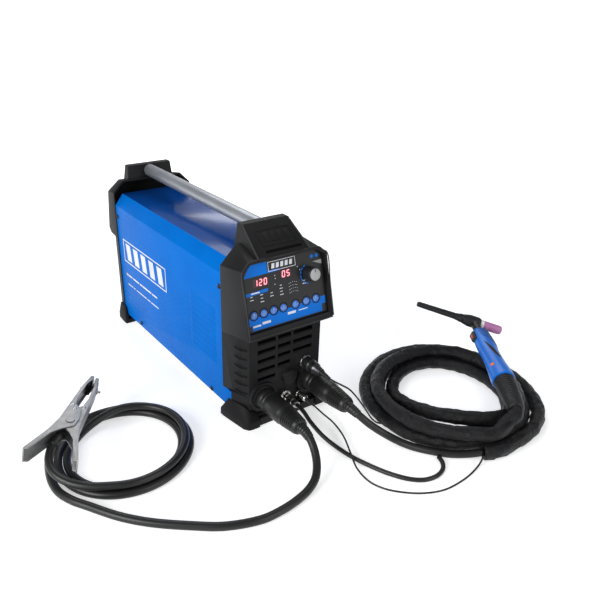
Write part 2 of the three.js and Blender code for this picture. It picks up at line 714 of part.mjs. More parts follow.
// A closed tube along a route whose radius goes evenly from thick to thin.
function taperedTube(points, thick, thin, sides) {
  const curve = new THREE.CatmullRomCurve3(points.map((p) => new THREE.Vector3(...p)), false, "centripetal");
  const steps = points.length * 3;
  const { normals, binormals } = curve.computeFrenetFrames(steps, false);
  const rings = [];
  for (let i = 0; i <= steps; i += 1) {
    const radius = thick + ((thin - thick) * i) / steps;
    const centre = curve.getPointAt(i / steps);
    for (let k = 0; k < sides; k += 1) {
      const a = (k / sides) * 2 * Math.PI;
      const p = centre.clone().addScaledVector(normals[i], radius * Math.cos(a));
      rings.push(p.addScaledVector(binormals[i], -radius * Math.sin(a)));
    }
  }
  return closedRings(rings, sides);
}

// A closed skin over rings of points, each ring given in turn from one end to the other.
function closedRings(points, sides) {
  const index = [];
  const last = points.length - sides;
  for (let row = 0; row < last; row += sides) {
    for (let i = 0; i < sides; i += 1) {
      const j = (i + 1) % sides;
      const [a, b, c, d] = [row + i, row + j, row + sides + i, row + sides + j];
      index.push(a, c, b, b, c, d);
    }
  }
  for (let i = 1; i + 1 < sides; i += 1) {
    index.push(0, i, i + 1, last, last + i + 1, last + i);
  }
  const geometry = new THREE.BufferGeometry();
  geometry.setAttribute("position", new THREE.Float32BufferAttribute(points.flatMap((p) => p.toArray()), 3));
  geometry.setIndex(index);
  return geometry;
}

function coilRing(lead) {
  const [x, y] = lead.coil;
  return ring(lead.outer, lead.inner, lead.height, 40).translate(x, y, 0);
}

// Earth lead: out of its plug, down to the floor, and round to the outside of its coil.
const earthRoute = [
  [EARTH_AT[0], PLUG_END - GAP, EARTH_AT[1]],
  [EARTH_AT[0], PLUG_END - 9, EARTH_AT[1]],
  [-47, -392, 46],
  [-50, -408, 35],
  [-58, -425, 23],
  [-72, -440, 14],
  [-92, -450, 8.5],
  [-122, -458, 6.8],
  [-153, -462, 6.8],
  [-183, -461, 6.8],
  [-233, -443, 6.8],
  [-271, -416, 6.8],
  [-315, -379, 6.8],
  [-346, -344, 6.8],
  [-375, -299, 6.8],
];
add("earth_lead", cord(earthRoute, EARTH.diameter, 10, 28), "rubber");
add("earth_coil", coilRing(EARTH), "rubber");

// Torch power lead: out of its plug, down and along the outside of the sleeve coil to the sleeve's mouth.
const MOUTH = [192, -541, 13.5];
const powerRoute = [
  [TORCH_AT[0], PLUG_END - GAP, TORCH_AT[1]],
  [TORCH_AT[0], PLUG_END - 9, TORCH_AT[1]],
  [55, -391, 50],
  [67, -405, 36],
  [84, -419, 21],
  [99, -437, 11],
  [112, -459, 7],
  [131, -487, 6.8],
  [152, -510, 6.8],
  [172, -527, 9.5],
  [MOUTH[0] - 3, MOUTH[1] + 1.6, MOUTH[2]],
];
add("power_lead", cord(powerRoute, POWER_DIAMETER, 10, 24), "rubber");

// The fabric sleeve from its mouth to where it joins its coil.
const sleeveRoute = [MOUTH, [206, -548.5, 13.5], [221, -554.5, 13.5], [236, -559, 13.5], [251, -562, 13.5]];
add("torch_sleeve", cord(sleeveRoute, SLEEVE.diameter, 12, 30), "rubber");
add("sleeve_coil", coilRing(SLEEVE), "rubber");

// Gas hose: from its outlet down, out in front, and back under the bundle's edge.
const gasRoute = [
  [GAS.x, GAS_END - GAP, GAS.z],
  [GAS.x, GAS_END - 8, GAS.z],
  [-1.5, -308, 37],
  [0, -317, 32],
  [1, -326, 25.5],
  [3, -343, 17],
  [6, -362, 9.5],
  [10, -384, 5],
  [15, -420, 4],
  [25, -456, 4],
  [38, -488, 4],
  [55, -514, 4],
  [73, -528, 4],
  [95, -532, 4],
  [115, -526, 4],
  [127, -514, 4],
  [132, -501.5, 4],
];
add("gas_hose", cord(gasRoute, GAS_DIAMETER, 8, 17), "rubber");

// Signal cable: from the round connector under the torch plug, over the gas hose and out to the sleeve's mouth.
const signalRoute = [
  [REMOTE.x, REMOTE_END - GAP, REMOTE.z],
  [REMOTE.x, REMOTE_END - 6, REMOTE.z],
  [29, -306, 30],
  [33, -324, 23.5],
  [38, -344, 17],
  [39, -364, 10],
  [33, -384, 8.5],
  [24, -402, 9.8],
  [13, -424, 10.2],
  [3, -450, 5],
  [1, -480, 1.8],
  [8, -504, 1.8],
  [25, -526, 1.8],
  [52, -547, 1.8],
  [83, -559, 1.8],
  [122, -560, 1.8],
  [151, -556, 2.4],
  [174, -550.5, 6],
  [MOUTH[0] - 7, MOUTH[1] - 8, MOUTH[2]],
];
add("signal_cable", cord(signalRoute, SIGNAL_DIAMETER, 8, 12), "rubber");

// Control cable: from the upper connector, over the torch plug's side and down to the coil.
const twinRoute = [
  [CONTROL.x, CONTROL_END - GAP, CONTROL.z],
  [43, -332, 91],
  [54, -343, 84],
  [68, -348, 73],
  [80, -351, 58],
  [92, -354, 40],
  [102, -360, 22],
  [108, -367, 9],
  [110, -376, 3],
];
add("control_cable", cord(twinRoute, TWIN_DIAMETER, 8, 12), "rubber");

// ---- earth clamp, lying on the coil, a little rolled about its length ----
const CLAMP = { at: [-350, -162, 39.3], turn: 0.9, roll: 0.21, height: 27, sheet: 2, pin: 4 };
const clamp = new THREE.Group();
clamp.position.set(...CLAMP.at);
clamp.rotation.set(CLAMP.roll, 0, CLAMP.turn, "ZXY");
machine.add(clamp);

// One lever of the clamp: an upright wall from handle end to jaw tip with a flange along both edges.
// inset is how far its flanges sit inside the other lever's.
const LEVER_WALL = [[-84, 41], [-30, 23], [0, 17], [40, 15], [92, 12], [128, 7]];
function lever(inset) {
  const wall = LEVER_WALL;
  const inner = wall.map(([x, y]) => [x, y - CLAMP.sheet]);
  const upright = prismZ([...wall, ...inner.reverse()], inset, CLAMP.height - inset);
  const flangeOutline = [
    ...wall,
    [128, 1.5],
    [118, 1.5],
    [104, 6],
    [64, 8],
    [44, 6],
    [30, -8],
    [8, -12],
    [-10, -10],
    [-24, 6],
    [-38, 17],
    [-82, 33],
  ];
  const low = prismZ(flangeOutline, inset, inset + CLAMP.sheet);
  const high = prismZ(flangeOutline, CLAMP.height - inset - CLAMP.sheet, CLAMP.height - inset);
  const jaw = box(118, 128, 1.5, 7, inset, CLAMP.height - inset);
  const pinHole = solid(rod(CLAMP.pin + GAP, CLAMP.height + 4, 20).translate(0, 0, -2));
  return union([upright, low, high, jaw]).subtract(pinHole);
}

const innerLever = mirrorY(lever(CLAMP.sheet + GAP));
add("clamp_lever_fixed", geometryOf(lever(0)), "steel", clamp);
add("clamp_lever_moving", geometryOf(innerLever), "steel", clamp);
const pinProfile = [
  [0, -1.6], [7, -1.6], [7, -GAP], [CLAMP.pin, -GAP], [CLAMP.pin, CLAMP.height + GAP],
  [7, CLAMP.height + GAP], [7, CLAMP.height + 1.8], [0, CLAMP.height + 1.8],
];
add("clamp_pin", turned(pinProfile, 16), "steel", clamp);
const SPRING = { outer: 7.5, inner: 4.6, low: 6, high: 21 };
const spring = ring(SPRING.outer, SPRING.inner, SPRING.high - SPRING.low, 20).translate(0, 0, SPRING.low);
add("clamp_spring", spring, "steel", clamp);

// ---- torch, lying on its sleeve ----
const TORCH = { head: [417, -315, 88], tail: [312.7, -473.7, 70], cap: [331.8, -241, 120] };
const along = new THREE.Vector3(...TORCH.tail).sub(new THREE.Vector3(...TORCH.head)).normalize();
const toCap = new THREE.Vector3(...TORCH.cap).sub(new THREE.Vector3(...TORCH.head)).normalize();
const side = new THREE.Vector3().crossVectors(along, toCap).normalize();
const front = new THREE.Vector3().crossVectors(side, along).normalize();

// A closed skin over elliptical sections: each is [distance along the handle, half width, half depth].
function skin(sections, sides) {
  const rings = [];
  for (const [reach, wide, deep] of sections) {
    for (let i = 0; i < sides; i += 1) {
      const a = (i / sides) * 2 * Math.PI;
      const p = new THREE.Vector3(...TORCH.head)
        .addScaledVector(along, reach)
        .addScaledVector(side, wide * Math.cos(a))
        .addScaledVector(front, deep * Math.sin(a));
      rings.push(p);
    }
  }
  return closedRings(rings, sides);
}

const HANDLE = [
  [36, 12, 13],
  [43, 13.8, 15.8],
  [64, 15, 18.5],
  [86, 16, 19],
  [114, 15.5, 17.5],
  [144, 17, 18],
  [172, 19.5, 20],
  [190, 20.5, 20.5],
];
// The head's barrel reaches this far from the handle's line, to the cup's side and to the cap's side.
const BARREL = { low: 11, high: 24 };
const headPlace = TORCH.head;
const neck = solid(aim(rod(8.5, HANDLE[0][0] - GAP, 16), headPlace, along.toArray()));
const barrelFoot = new THREE.Vector3(...headPlace).addScaledVector(toCap, -BARREL.low).toArray();
const barrelProfile = [[0, 0], [10.5, 0], [12, 4], [12, 22], [9, 35], [0, 35]];
const barrel = solid(aim(turned(barrelProfile, 20), barrelFoot, toCap.toArray()));
add("torch_head", geometryOf(neck.add(barrel)), "rubber");
const capFoot = new THREE.Vector3(...headPlace).addScaledVector(toCap, BARREL.high + GAP).toArray();
const capProfile = [[0, 0], [8.5, 0], [8.5, 6], [6.5, 16], [5.2, 92], [4, 95], [0, 95]];
add("torch_back_cap", aim(turned(capProfile, 16), capFoot, toCap.toArray()), "rubber");
const toCup = toCap.clone().negate();
const collarFoot = new THREE.Vector3(...headPlace).addScaledVector(toCup, BARREL.low + GAP).toArray();
add("torch_collar", aim(rod(9.5, 7, 20), collarFoot, toCup.toArray()), "white");
const cupFoot = new THREE.Vector3(...headPlace).addScaledVector(toCup, BARREL.low + 7 + 2 * GAP).toArray();
const cupProfile = [[0, 0], [9, 0], [9, 33], [8, 37], [6, 37], [6, 8], [0, 8]];
add("torch_cup", aim(turned(cupProfile, 20), cupFoot, toCup.toArray()), "pink");
const TRIGGER = { from: 46, to: 74, slant: 4, wide: 6, height: 4, pocket: 6, travel: 1.5 };

// The trigger's own shape, or with some slack the pocket it slides in.
function triggerBody(slack, top) {
  const foot = HANDLE[2][2] - TRIGGER.pocket - (slack > 0 ? TRIGGER.travel : 0);
  const corners = [];
  for (const [reach, inward] of [[TRIGGER.from - slack, TRIGGER.slant], [TRIGGER.to + slack, -TRIGGER.slant]]) {
    for (const across of [-TRIGGER.wide - slack, TRIGGER.wide + slack]) {
      for (const out of [foot - slack, top]) {
        corners.push(
          new THREE.Vector3(...headPlace)
            .addScaledVector(along, reach + (out === top ? inward : 0))
            .addScaledVector(side, across)
            .addScaledVector(front, out)
            .toArray(),
        );
      }
    }
  }
  return hull(corners);
}
const handle = solid(skin(HANDLE, 24)).subtract(triggerBody(0.5, 30));
add("torch_handle", geometryOf(handle), "blue");
add("torch_trigger", geometryOf(triggerBody(0, HANDLE[2][2] + TRIGGER.height)), "black");

// Ribbed boot at the handle's foot, bending down to the sleeve.
const bootStart = new THREE.Vector3(...headPlace).addScaledVector(along, 190 + GAP);
const BOOT = { thick: 18.5, thin: 14, route: [[302, -489.9, 68.2], [292, -505, 66], [282, -520, 62.5], [271.9, -532.2, 60]] };
add("torch_boot", taperedTube([bootStart.toArray(), ...BOOT.route], BOOT.thick, BOOT.thin, 20), "rubber");

export default machine;
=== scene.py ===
import json
from math import cos, exp, pi, radians, remainder, sin

import bmesh
import bpy
from mathutils import Matrix, Vector, noise

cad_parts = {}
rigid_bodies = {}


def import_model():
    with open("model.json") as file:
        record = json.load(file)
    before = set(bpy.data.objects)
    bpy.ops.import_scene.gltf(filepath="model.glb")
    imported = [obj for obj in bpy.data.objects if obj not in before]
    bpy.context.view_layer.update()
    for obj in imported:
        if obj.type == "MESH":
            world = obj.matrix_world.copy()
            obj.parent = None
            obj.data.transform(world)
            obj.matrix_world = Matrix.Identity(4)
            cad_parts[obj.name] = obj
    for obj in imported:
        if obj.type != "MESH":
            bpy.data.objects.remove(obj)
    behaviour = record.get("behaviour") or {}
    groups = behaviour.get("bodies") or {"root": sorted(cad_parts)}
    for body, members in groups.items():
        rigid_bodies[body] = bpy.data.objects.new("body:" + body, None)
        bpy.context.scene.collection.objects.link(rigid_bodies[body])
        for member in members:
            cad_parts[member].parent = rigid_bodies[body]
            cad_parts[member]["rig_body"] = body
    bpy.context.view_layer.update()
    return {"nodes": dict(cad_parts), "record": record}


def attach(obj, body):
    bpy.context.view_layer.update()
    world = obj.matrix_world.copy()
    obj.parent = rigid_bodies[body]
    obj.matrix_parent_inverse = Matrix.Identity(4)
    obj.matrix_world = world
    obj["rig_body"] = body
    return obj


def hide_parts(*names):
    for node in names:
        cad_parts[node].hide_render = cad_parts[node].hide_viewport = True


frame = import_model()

MM = 0.001
BODY = "machine"


def mm(*values):
    """A point given in millimetres, in metres."""
    return Vector(values) * MM


def to_scene(thing):
    bpy.context.scene.collection.objects.link(thing)


# ---------------------------------------------------------------- camera
CAMERA = {"place": mm(-572.5, -1039.7, 677.8), "yaw": 35.68, "pitch": 27.79, "roll": 1.24, "lens": 39.0}
CAMERA_SHIFT = 0.0393


def make_camera():
    """A camera at the photograph's viewing angle: yaw from +Y towards +X, pitch downwards."""
    yaw, pitch, roll = (radians(CAMERA[k]) for k in ("yaw", "pitch", "roll"))
    forward = Vector((sin(yaw) * cos(pitch), cos(yaw) * cos(pitch), -sin(pitch)))
    level = Vector((cos(yaw), -sin(yaw), 0))
    above = level.cross(forward)
    right = level * cos(roll) + above * sin(roll)
    up = above * cos(roll) - level * sin(roll)
    data = bpy.data.cameras.new("camera")
    data.lens = CAMERA["lens"]
    data.shift_x = CAMERA_SHIFT
    data.shift_y = CAMERA_SHIFT
    data.clip_start = 0.05
    data.clip_end = 30
    camera = bpy.data.objects.new("camera", data)
    turn = Matrix((right, up, -forward)).transposed().to_4x4()
    camera.matrix_world = Matrix.Translation(CAMERA["place"]) @ turn
    to_scene(camera)
    bpy.context.scene.camera = camera


make_camera()


# ---------------------------------------------------------------- materials
LOOKS = {}


def new_material(name):
    """A material kept in LOOKS under its name."""
    LOOKS[name] = bpy.data.materials.new(name)
    LOOKS[name].use_nodes = True
    tree = LOOKS[name].node_tree
    return tree, tree.nodes["Principled BSDF"]


def own_metres(tree):
    """The output that gives a place on the object in its own metres."""
    return tree.nodes.new("ShaderNodeTexCoord"), "Object"


def link(tree, source, output, target, socket):
    tree.links.new(source.outputs[output], target.inputs[socket])


def put(node, **values):
    """Sets a node's inputs by name, with _ for a space."""
    for socket, value in values.items():
        node.inputs[socket.replace("_", " ")].default_value = value
    return node


def noise_node(tree, coordinates, scale, detail=3.0, stretch=(1, 1, 1)):
    """Noise, stretched by a factor along each axis."""
    mapping = put(tree.nodes.new("ShaderNodeMapping"), Scale=stretch)
    link(tree, *coordinates, mapping, "Vector")
    node = put(tree.nodes.new("ShaderNodeTexNoise"), Scale=scale, Detail=detail)
    link(tree, mapping, "Vector", node, "Vector")
    return node


def spread(tree, node, low, high, output="Fac"):
    """Maps a 0.3 to 0.7 signal to a range of values."""
    span = put(tree.nodes.new("ShaderNodeMapRange"), From_Min=0.3, From_Max=0.7, To_Min=low, To_Max=high)
    link(tree, node, output, span, "Value")
    return span


def tint(tree, signal, dark, light, output="Fac"):
    ramp = tree.nodes.new("ShaderNodeValToRGB")
    for element, position, colour in zip(ramp.color_ramp.elements, (0.3, 0.7), (dark, light)):
        element.position = position
        element.color = (*colour, 1)
    link(tree, signal, output, ramp, "Fac")
    return ramp


def bump_node(tree, signal, output, strength, distance):
    node = put(tree.nodes.new("ShaderNodeBump"), Strength=strength, Distance=distance)
    link(tree, signal, output, node, "Height")
    return node


def surface(name, dark, light, rough, metallic=0.0, blotch=14.0, grain=900.0, bump=0.1, stretch=(1, 1, 1),
            **fixed):
    """A moulded, painted or metal surface: broad colour variation, fine grain in bump and roughness."""
    tree, shader = new_material(name)
    place = own_metres(tree)
    broad = noise_node(tree, place, blotch, 4.0)
    fine = noise_node(tree, place, grain, 2.0, stretch)
    colour = tint(tree, broad, dark, light)
    link(tree, colour, "Color", shader, "Base Color")
    link(tree, spread(tree, fine, rough[0], rough[1]), "Result", shader, "Roughness")
    link(tree, bump_node(tree, fine, "Fac", bump, 0.0002), "Normal", shader, "Normal")
    put(shader, Metallic=metallic, **fixed)


def weave(name, dark, light, threads):
    """Woven nylon: crossing threads along the piece's own unwrapped length and girth."""
    tree, shader = new_material(name)
    place = tree.nodes.new("ShaderNodeUVMap")
    waves = []
    for axis in ("X", "Y"):
        wave = tree.nodes.new("ShaderNodeTexWave")
        wave.bands_direction = axis
        put(wave, Scale=threads, Distortion=0.4)
        link(tree, place, "UV", wave, "Vector")
        waves.append(wave)
    cross = tree.nodes.new("ShaderNodeMath")
    cross.operation = "MULTIPLY"
    link(tree, waves[0], "Fac", cross, 0)
    link(tree, waves[1], "Fac", cross, 1)
    broad = noise_node(tree, own_metres(tree), 30.0, 4.0)
    link(tree, tint(tree, broad, dark, light), "Color", shader, "Base Color")
    threads_up = bump_node(tree, cross, "Value", 0.4, 0.0004)
    wrinkle = noise_node(tree, own_metres(tree), 75.0, 3.0)
    put(wrinkle, Distortion=0.8)
    wrinkles = bump_node(tree, wrinkle, "Fac", 0.8, 0.004)
    link(tree, threads_up, "Normal", wrinkles, "Normal")
    link(tree, wrinkles, "Normal", shader, "Normal")
    link(tree, spread(tree, broad, 0.36, 0.5), "Result", shader, "Roughness")
    put(shader, Specular_IOR_Level=0.22, Sheen_Weight=0.01, Sheen_Roughness=0.5)


def glowing(name, colour, strength):
    """A lit segment or lamp behind a window, a little uneven like a real one; also the painted glow round the
    segments.
    """
    tree, shader = new_material(name)
    flicker = noise_node(tree, own_metres(tree), 700.0)
    shade = tint(tree, flicker, tuple(c * 0.8 for c in colour), colour)
    link(tree, shade, "Color", shader, "Base Color")
    link(tree, shade, "Color", shader, "Emission Color")
    put(shader, Emission_Strength=strength)


surface("cover_blue", (0.0008, 0.108, 0.43), (0.0012, 0.125, 0.48), (0.24, 0.34), grain=700.0, bump=0.05,
        Specular_IOR_Level=0.015)
# The cover's top faces: a darker copy of the cover blue, which is painted shade, under a thin clear coat.
surface("cover_top_painted_shade", (0.0008, 0.05, 0.25), (0.001, 0.06, 0.29), (0.14, 0.2), grain=700.0, bump=0.05,
        Coat_Weight=0.1, Coat_Roughness=0.05, Specular_IOR_Level=0.2)
# Faces of the cover turned inwards or downwards: a near-black copy of the cover blue, which is painted shade.
surface("cover_inside_painted_shade", (0.002, 0.01, 0.03), (0.003, 0.014, 0.04), (0.6, 0.7), bump=0.05)
surface("bezel_black", (0.005, 0.005, 0.0055), (0.009, 0.009, 0.0095), (0.46, 0.6), bump=0.4, grain=1500.0,
        Specular_IOR_Level=0.2)
# A lighter copy of the bezel black for the beads on its rims: the lighter colour is painted highlight.
surface("bezel_edge_highlight", (0.03, 0.03, 0.031), (0.045, 0.045, 0.047), (0.5, 0.6), bump=0.3, grain=1500.0,
        Specular_IOR_Level=0.1)
surface("foot_black", (0.006, 0.006, 0.0065), (0.011, 0.011, 0.0115), (0.5, 0.64), bump=0.4, grain=1200.0,
        Specular_IOR_Level=0.12)
surface("tray_steel", (0.4, 0.4, 0.42), (0.52, 0.52, 0.53), (0.3, 0.45), 1.0, stretch=(20, 1, 1))
surface("tube_aluminium", (0.30, 0.32, 0.35), (0.38, 0.40, 0.43), (0.34, 0.48), 0.75, bump=0.5, grain=60.0,
        stretch=(1, 18, 1))
surface("overlay_film", (0.004, 0.004, 0.0045), (0.007, 0.007, 0.008), (0.3, 0.4), bump=0.05,
        Specular_IOR_Level=0.35)
surface("display_red", (0.016, 0.003, 0.003), (0.028, 0.006, 0.006), (0.08, 0.14), bump=0.0)
surface("button_blue", (0.03, 0.12, 0.42), (0.06, 0.17, 0.5), (0.12, 0.2), bump=0.02, Coat_Weight=0.6)
surface("button_red", (0.35, 0.01, 0.01), (0.45, 0.02, 0.02), (0.25, 0.35), bump=0.05)
surface("knob_black", (0.008, 0.008, 0.009), (0.016, 0.016, 0.017), (0.35, 0.5), bump=0.2,
        Specular_IOR_Level=0.35)
surface("knob_face", (0.27, 0.27, 0.27), (0.33, 0.33, 0.33), (0.35, 0.45), 0.2, bump=0.1)
surface("board_green", (0.01, 0.12, 0.05), (0.02, 0.18, 0.08), (0.3, 0.5), bump=0.3)
surface("fitting_steel", (0.36, 0.36, 0.37), (0.55, 0.55, 0.56), (0.18, 0.34), 1.0, bump=0.15)
surface("fitting_dark", (0.05, 0.05, 0.055), (0.1, 0.1, 0.105), (0.25, 0.4), 0.9, bump=0.15)
surface("fitting_nickel", (0.45, 0.44, 0.42), (0.6, 0.58, 0.55), (0.12, 0.25), 1.0, bump=0.1)
surface("fitting_brass", (0.5, 0.36, 0.14), (0.64, 0.46, 0.2), (0.2, 0.36), 1.0, bump=0.15)
surface("sink_aluminium", (0.6, 0.6, 0.61), (0.7, 0.7, 0.71), (0.3, 0.45), 1.0, stretch=(1, 20, 1))
surface("winding_copper", (0.36, 0.12, 0.04), (0.55, 0.2, 0.07), (0.25, 0.4), 0.8, stretch=(1, 1, 25))
surface("capacitor_black", (0.01, 0.01, 0.014), (0.02, 0.02, 0.026), (0.2, 0.3), bump=0.05)
surface("lead_rubber", (0.006, 0.006, 0.006), (0.012, 0.012, 0.012), (0.34, 0.46), bump=0.25, grain=1100.0,
        Specular_IOR_Level=0.4)
weave("sleeve_fabric", (0.003, 0.003, 0.0035), (0.008, 0.008, 0.009), 1.0)
surface("clamp_steel", (0.27, 0.27, 0.27), (0.36, 0.36, 0.36), (0.4, 0.54), 0.7, blotch=60.0, bump=0.2)
surface("torch_blue", (0.002, 0.12, 0.52), (0.004, 0.15, 0.6), (0.3, 0.42), bump=0.2)
surface("torch_black", (0.006, 0.006, 0.007), (0.012, 0.012, 0.013), (0.35, 0.55), bump=0.3,
        Specular_IOR_Level=0.35)
surface("grip_blue", (0.002, 0.02, 0.09), (0.003, 0.028, 0.12), (0.4, 0.5), bump=0.1)
surface("collar_white", (0.62, 0.62, 0.6), (0.72, 0.72, 0.7), (0.3, 0.4), bump=0.1)
surface("cup_pink", (0.36, 0.13, 0.30), (0.46, 0.19, 0.39), (0.35, 0.5), bump=0.25)
surface("print_blue", (0.001, 0.12, 0.5), (0.002, 0.14, 0.55), (0.3, 0.4), bump=0.03, Specular_IOR_Level=0.1)
surface("print_white", (0.5, 0.52, 0.56), (0.62, 0.64, 0.68), (0.35, 0.45), bump=0.03)
surface("print_grey", (0.2, 0.2, 0.2), (0.27, 0.27, 0.27), (0.4, 0.5), bump=0.03)
surface("print_orange", (0.5, 0.42, 0.12), (0.6, 0.5, 0.16), (0.4, 0.5), bump=0.03)
surface("spot_orange", (0.8, 0.16, 0.02), (0.9, 0.2, 0.03), (0.3, 0.4), bump=0.03)
# Near-black for slots, recesses and the inside behind the grille: painted shade where only shade would fall.
surface("painted_shade_black", (0.001, 0.001, 0.001), (0.002, 0.002, 0.002), (0.9, 1.0), bump=0.0,
        Specular_IOR_Level=0.1)
surface("screw_black", (0.01, 0.01, 0.01), (0.02, 0.02, 0.02), (0.3, 0.45), 0.6, bump=0.1)
glowing("segment_red", (1.0, 0.3, 0.36), 1.5)
# A faint glow round the lit segments, spread over a wider shape: painted light.
glowing("segment_glow_paint", (0.5, 0.03, 0.06), 0.6)


def look(piece, name):
    piece.data.materials.clear()
    piece.data.materials.append(LOOKS[name])


for part in frame["record"]["subparts"]:
    look(frame["nodes"][part["node"]], part["material_slot"])


def body_of(node):
    return frame["nodes"][node]["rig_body"]


def belongs(piece, body):
    """Puts a piece on a body."""
    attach(piece, body)


def in_scene(name, mesh):
    """A smoothly shaded object of that name, in the scene."""
    piece = bpy.data.objects.new(name, mesh)
    to_scene(piece)
    mesh.shade_smooth()
    return piece


def new_mesh(name, vertices, faces):
    mesh = bpy.data.meshes.new(name)
    mesh.from_pydata([tuple(v) for v in vertices], [], faces)
    mesh.validate()
    return mesh


def piece_from(name, vertices, faces, material, body=BODY):
    piece = in_scene(name, new_mesh(name, vertices, faces))
    look(piece, material)
    belongs(piece, body)
    return piece


def smooth_path(points, step):
    """Evenly spaced points, in metres, on a centripetal Catmull-Rom curve through points in millimetres."""
    knots = [mm(*p) for p in points]
    knots = [knots[0] * 2 - knots[1]] + knots + [knots[-1] * 2 - knots[-2]]
    fine = []
    for a, b, c, d in zip(knots, knots[1:], knots[2:], knots[3:]):
        t1 = (b - a).length ** 0.5
        t2 = t1 + (c - b).length ** 0.5
        t3 = t2 + (d - c).length ** 0.5
        for i in range(12):
            t = t1 + (t2 - t1) * i / 12
            p1 = a * ((t1 - t) / t1) + b * (t / t1)
            p2 = b * ((t2 - t) / (t2 - t1)) + c * ((t - t1) / (t2 - t1))
            p3 = c * ((t3 - t) / (t3 - t2)) + d * ((t - t2) / (t3 - t2))
            q1 = p1 * ((t2 - t) / t2) + p2 * (t / t2)
            q2 = p2 * ((t3 - t) / (t3 - t1)) + p3 * ((t - t1) / (t3 - t1))
            fine.append(q1 * ((t2 - t) / (t2 - t1)) + q2 * ((t - t1) / (t2 - t1)))
    fine.append(knots[-2])
    total = route_length(fine)
    count = max(2, round(total / (step * MM)))
    even, walked, k = [fine[0]], 0.0, 0
    for i in range(1, count):
        goal = total * i / count
        while walked + (fine[k + 1] - fine[k]).length < goal:
            walked += (fine[k + 1] - fine[k]).length
            k += 1
        share = (goal - walked) / (fine[k + 1] - fine[k]).length
        even.append(fine[k].lerp(fine[k + 1], share))
    return even + [fine[-1]]


def route_length(points):
    return sum((b - a).length for a, b in zip(points, points[1:]))


def frames_along(path):
    """A tangent and two crossing directions at each point, carried along without twisting."""
    frames = []
    side = None
    for i, point in enumerate(path):
        ahead = path[min(i + 1, len(path) - 1)] - path[max(i - 1, 0)]
        ahead.normalize()
        if side is None:
            side = ahead.cross(Vector((0, 0, 1)))
            if side.length < 0.1:
                side = ahead.cross(Vector((1, 0, 0)))
        side = (side - ahead * side.dot(ahead)).normalized()
        frames.append((point, ahead, side, side.cross(ahead)))
    return frames


def ring_faces(rows, sides):
    """Faces of a closed skin over rings of points, with flat ends."""
    faces = []
    for i in range(rows - 1):
        low, high = i * sides, (i + 1) * sides
        faces += [(low + k, low + (k + 1) % sides, high + (k + 1) % sides, high + k) for k in range(sides)]
    last = (rows - 1) * sides
    return faces + [tuple(range(sides))[::-1], tuple(range(last, last + sides))]


def tube(name, path, radius, material, sides=16, swell=None, body=BODY):
    """A closed tube along a path. swell(i, angle, length) gives how far its skin stands from the radius."""
    vertices, unwrapped = [], []
    walked = 0.0
    frames = frames_along(path)
    for i, (point, ahead, side, over) in enumerate(frames):
        walked += (path[i] - path[i - 1]).length if i else 0.0
        for k in range(sides):
            a = 2 * pi * k / sides
            r = radius + (swell(i, a, walked) if swell else 0.0)
            vertices.append(point + side * (r * cos(a)) + over * (r * sin(a)))
            unwrapped.append((walked, k / sides))
    piece = piece_from(name, vertices, ring_faces(len(frames), sides), material, body=body)
    around = 2 * pi * radius
    layer = piece.data.uv_layers.new(name="UVMap")
    for polygon in piece.data.polygons:
        turns = [unwrapped[v][1] for v in polygon.vertices]
        for corner, v in zip(polygon.loop_indices, polygon.vertices):
            share = unwrapped[v][1]
            if max(turns) - min(turns) > 0.5 and share < 0.5:
                share += 1.0
            layer.data[corner].uv = (unwrapped[v][0] * 1000, share * around * 1000)
    return piece


# ---------------------------------------------------------------- cords, along the routes of the CAD model
EARTH_AT = (-46.6, 52)
TORCH_AT = (50, 57)
PLUG_END = -366.6
MOUTH = (192, -541, 13.5)
PER_TURN = 28


def coil_path(centre, start, turns, radii, heights, clockwise=False):
    """Turns of a coil as points in millimetres. radii and heights are functions of the turns made so far."""
    points = []
    for i in range(round(turns * PER_TURN) + 1):
        done = i / PER_TURN
        a = radians(start) + (-1 if clockwise else 1) * 2 * pi * done
        r = radii(done)
        points.append((centre[0] + r * cos(a), centre[1] + r * sin(a), heights(done)))
    return points


def ease(t):
    t = min(1.0, max(0.0, t))
    return t * t * (3 - 2 * t)


EARTH_COIL = {"centre": (-280, -205), "start": 213, "turns": 2.93}
EARTH_DIAMETER = 13
EARTH_LANE = 13.8


def earth_radius(done):
    """Lanes on the floor from the outside in, then a last half turn on top, between the outer lanes."""
    r = 118.5 - EARTH_LANE * done + 8.5 * (1 - ease(done / 0.12))
    r += (2 * EARTH_LANE - EARTH_LANE / 2) * ease((done - 2.3) / 0.25)
    return r + 3.5 * sin(2 * radians(EARTH_COIL["start"]) - 4 * pi * done)


def earth_height(done):
    return 6.8 + 11.6 * ease((done - 2.2) / 0.22) + 3 * exp(-((done - 2.4) / 0.07) ** 2)


earth_free = [
    (EARTH_AT[0], PLUG_END + 0.5, EARTH_AT[1]), (EARTH_AT[0], PLUG_END - 9, EARTH_AT[1]), (-47, -392, 46),
    (-50, -408, 35), (-58, -425, 23), (-72, -440, 14), (-92, -450, 8.5), (-122, -458, 6.8),
    (-153, -462, 6.8), (-183, -461, 6.8), (-233, -443, 6.8), (-271, -416, 6.8), (-315, -379, 6.8),
    (-346, -344, 6.8), (-375, -299, 6.8),
]
earth_turns = coil_path(**EARTH_COIL, radii=earth_radius, heights=earth_height, clockwise=True)
earth_tail = [
    (-364.5, -273.7, 19.5), (-386, -252, 22.7), (-397.3, -229, 28), (-397, -207.3, 35.6),
    (-385.4, -189.3, 45.2), (-367, -179, 54.5),
]
earth_path = smooth_path(earth_free + earth_turns + earth_tail, 5)
earth_lead = tube("earth_lead_rubber", earth_path, EARTH_DIAMETER / 2 * MM, "lead_rubber", sides=20)
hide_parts("earth_lead", "earth_coil")

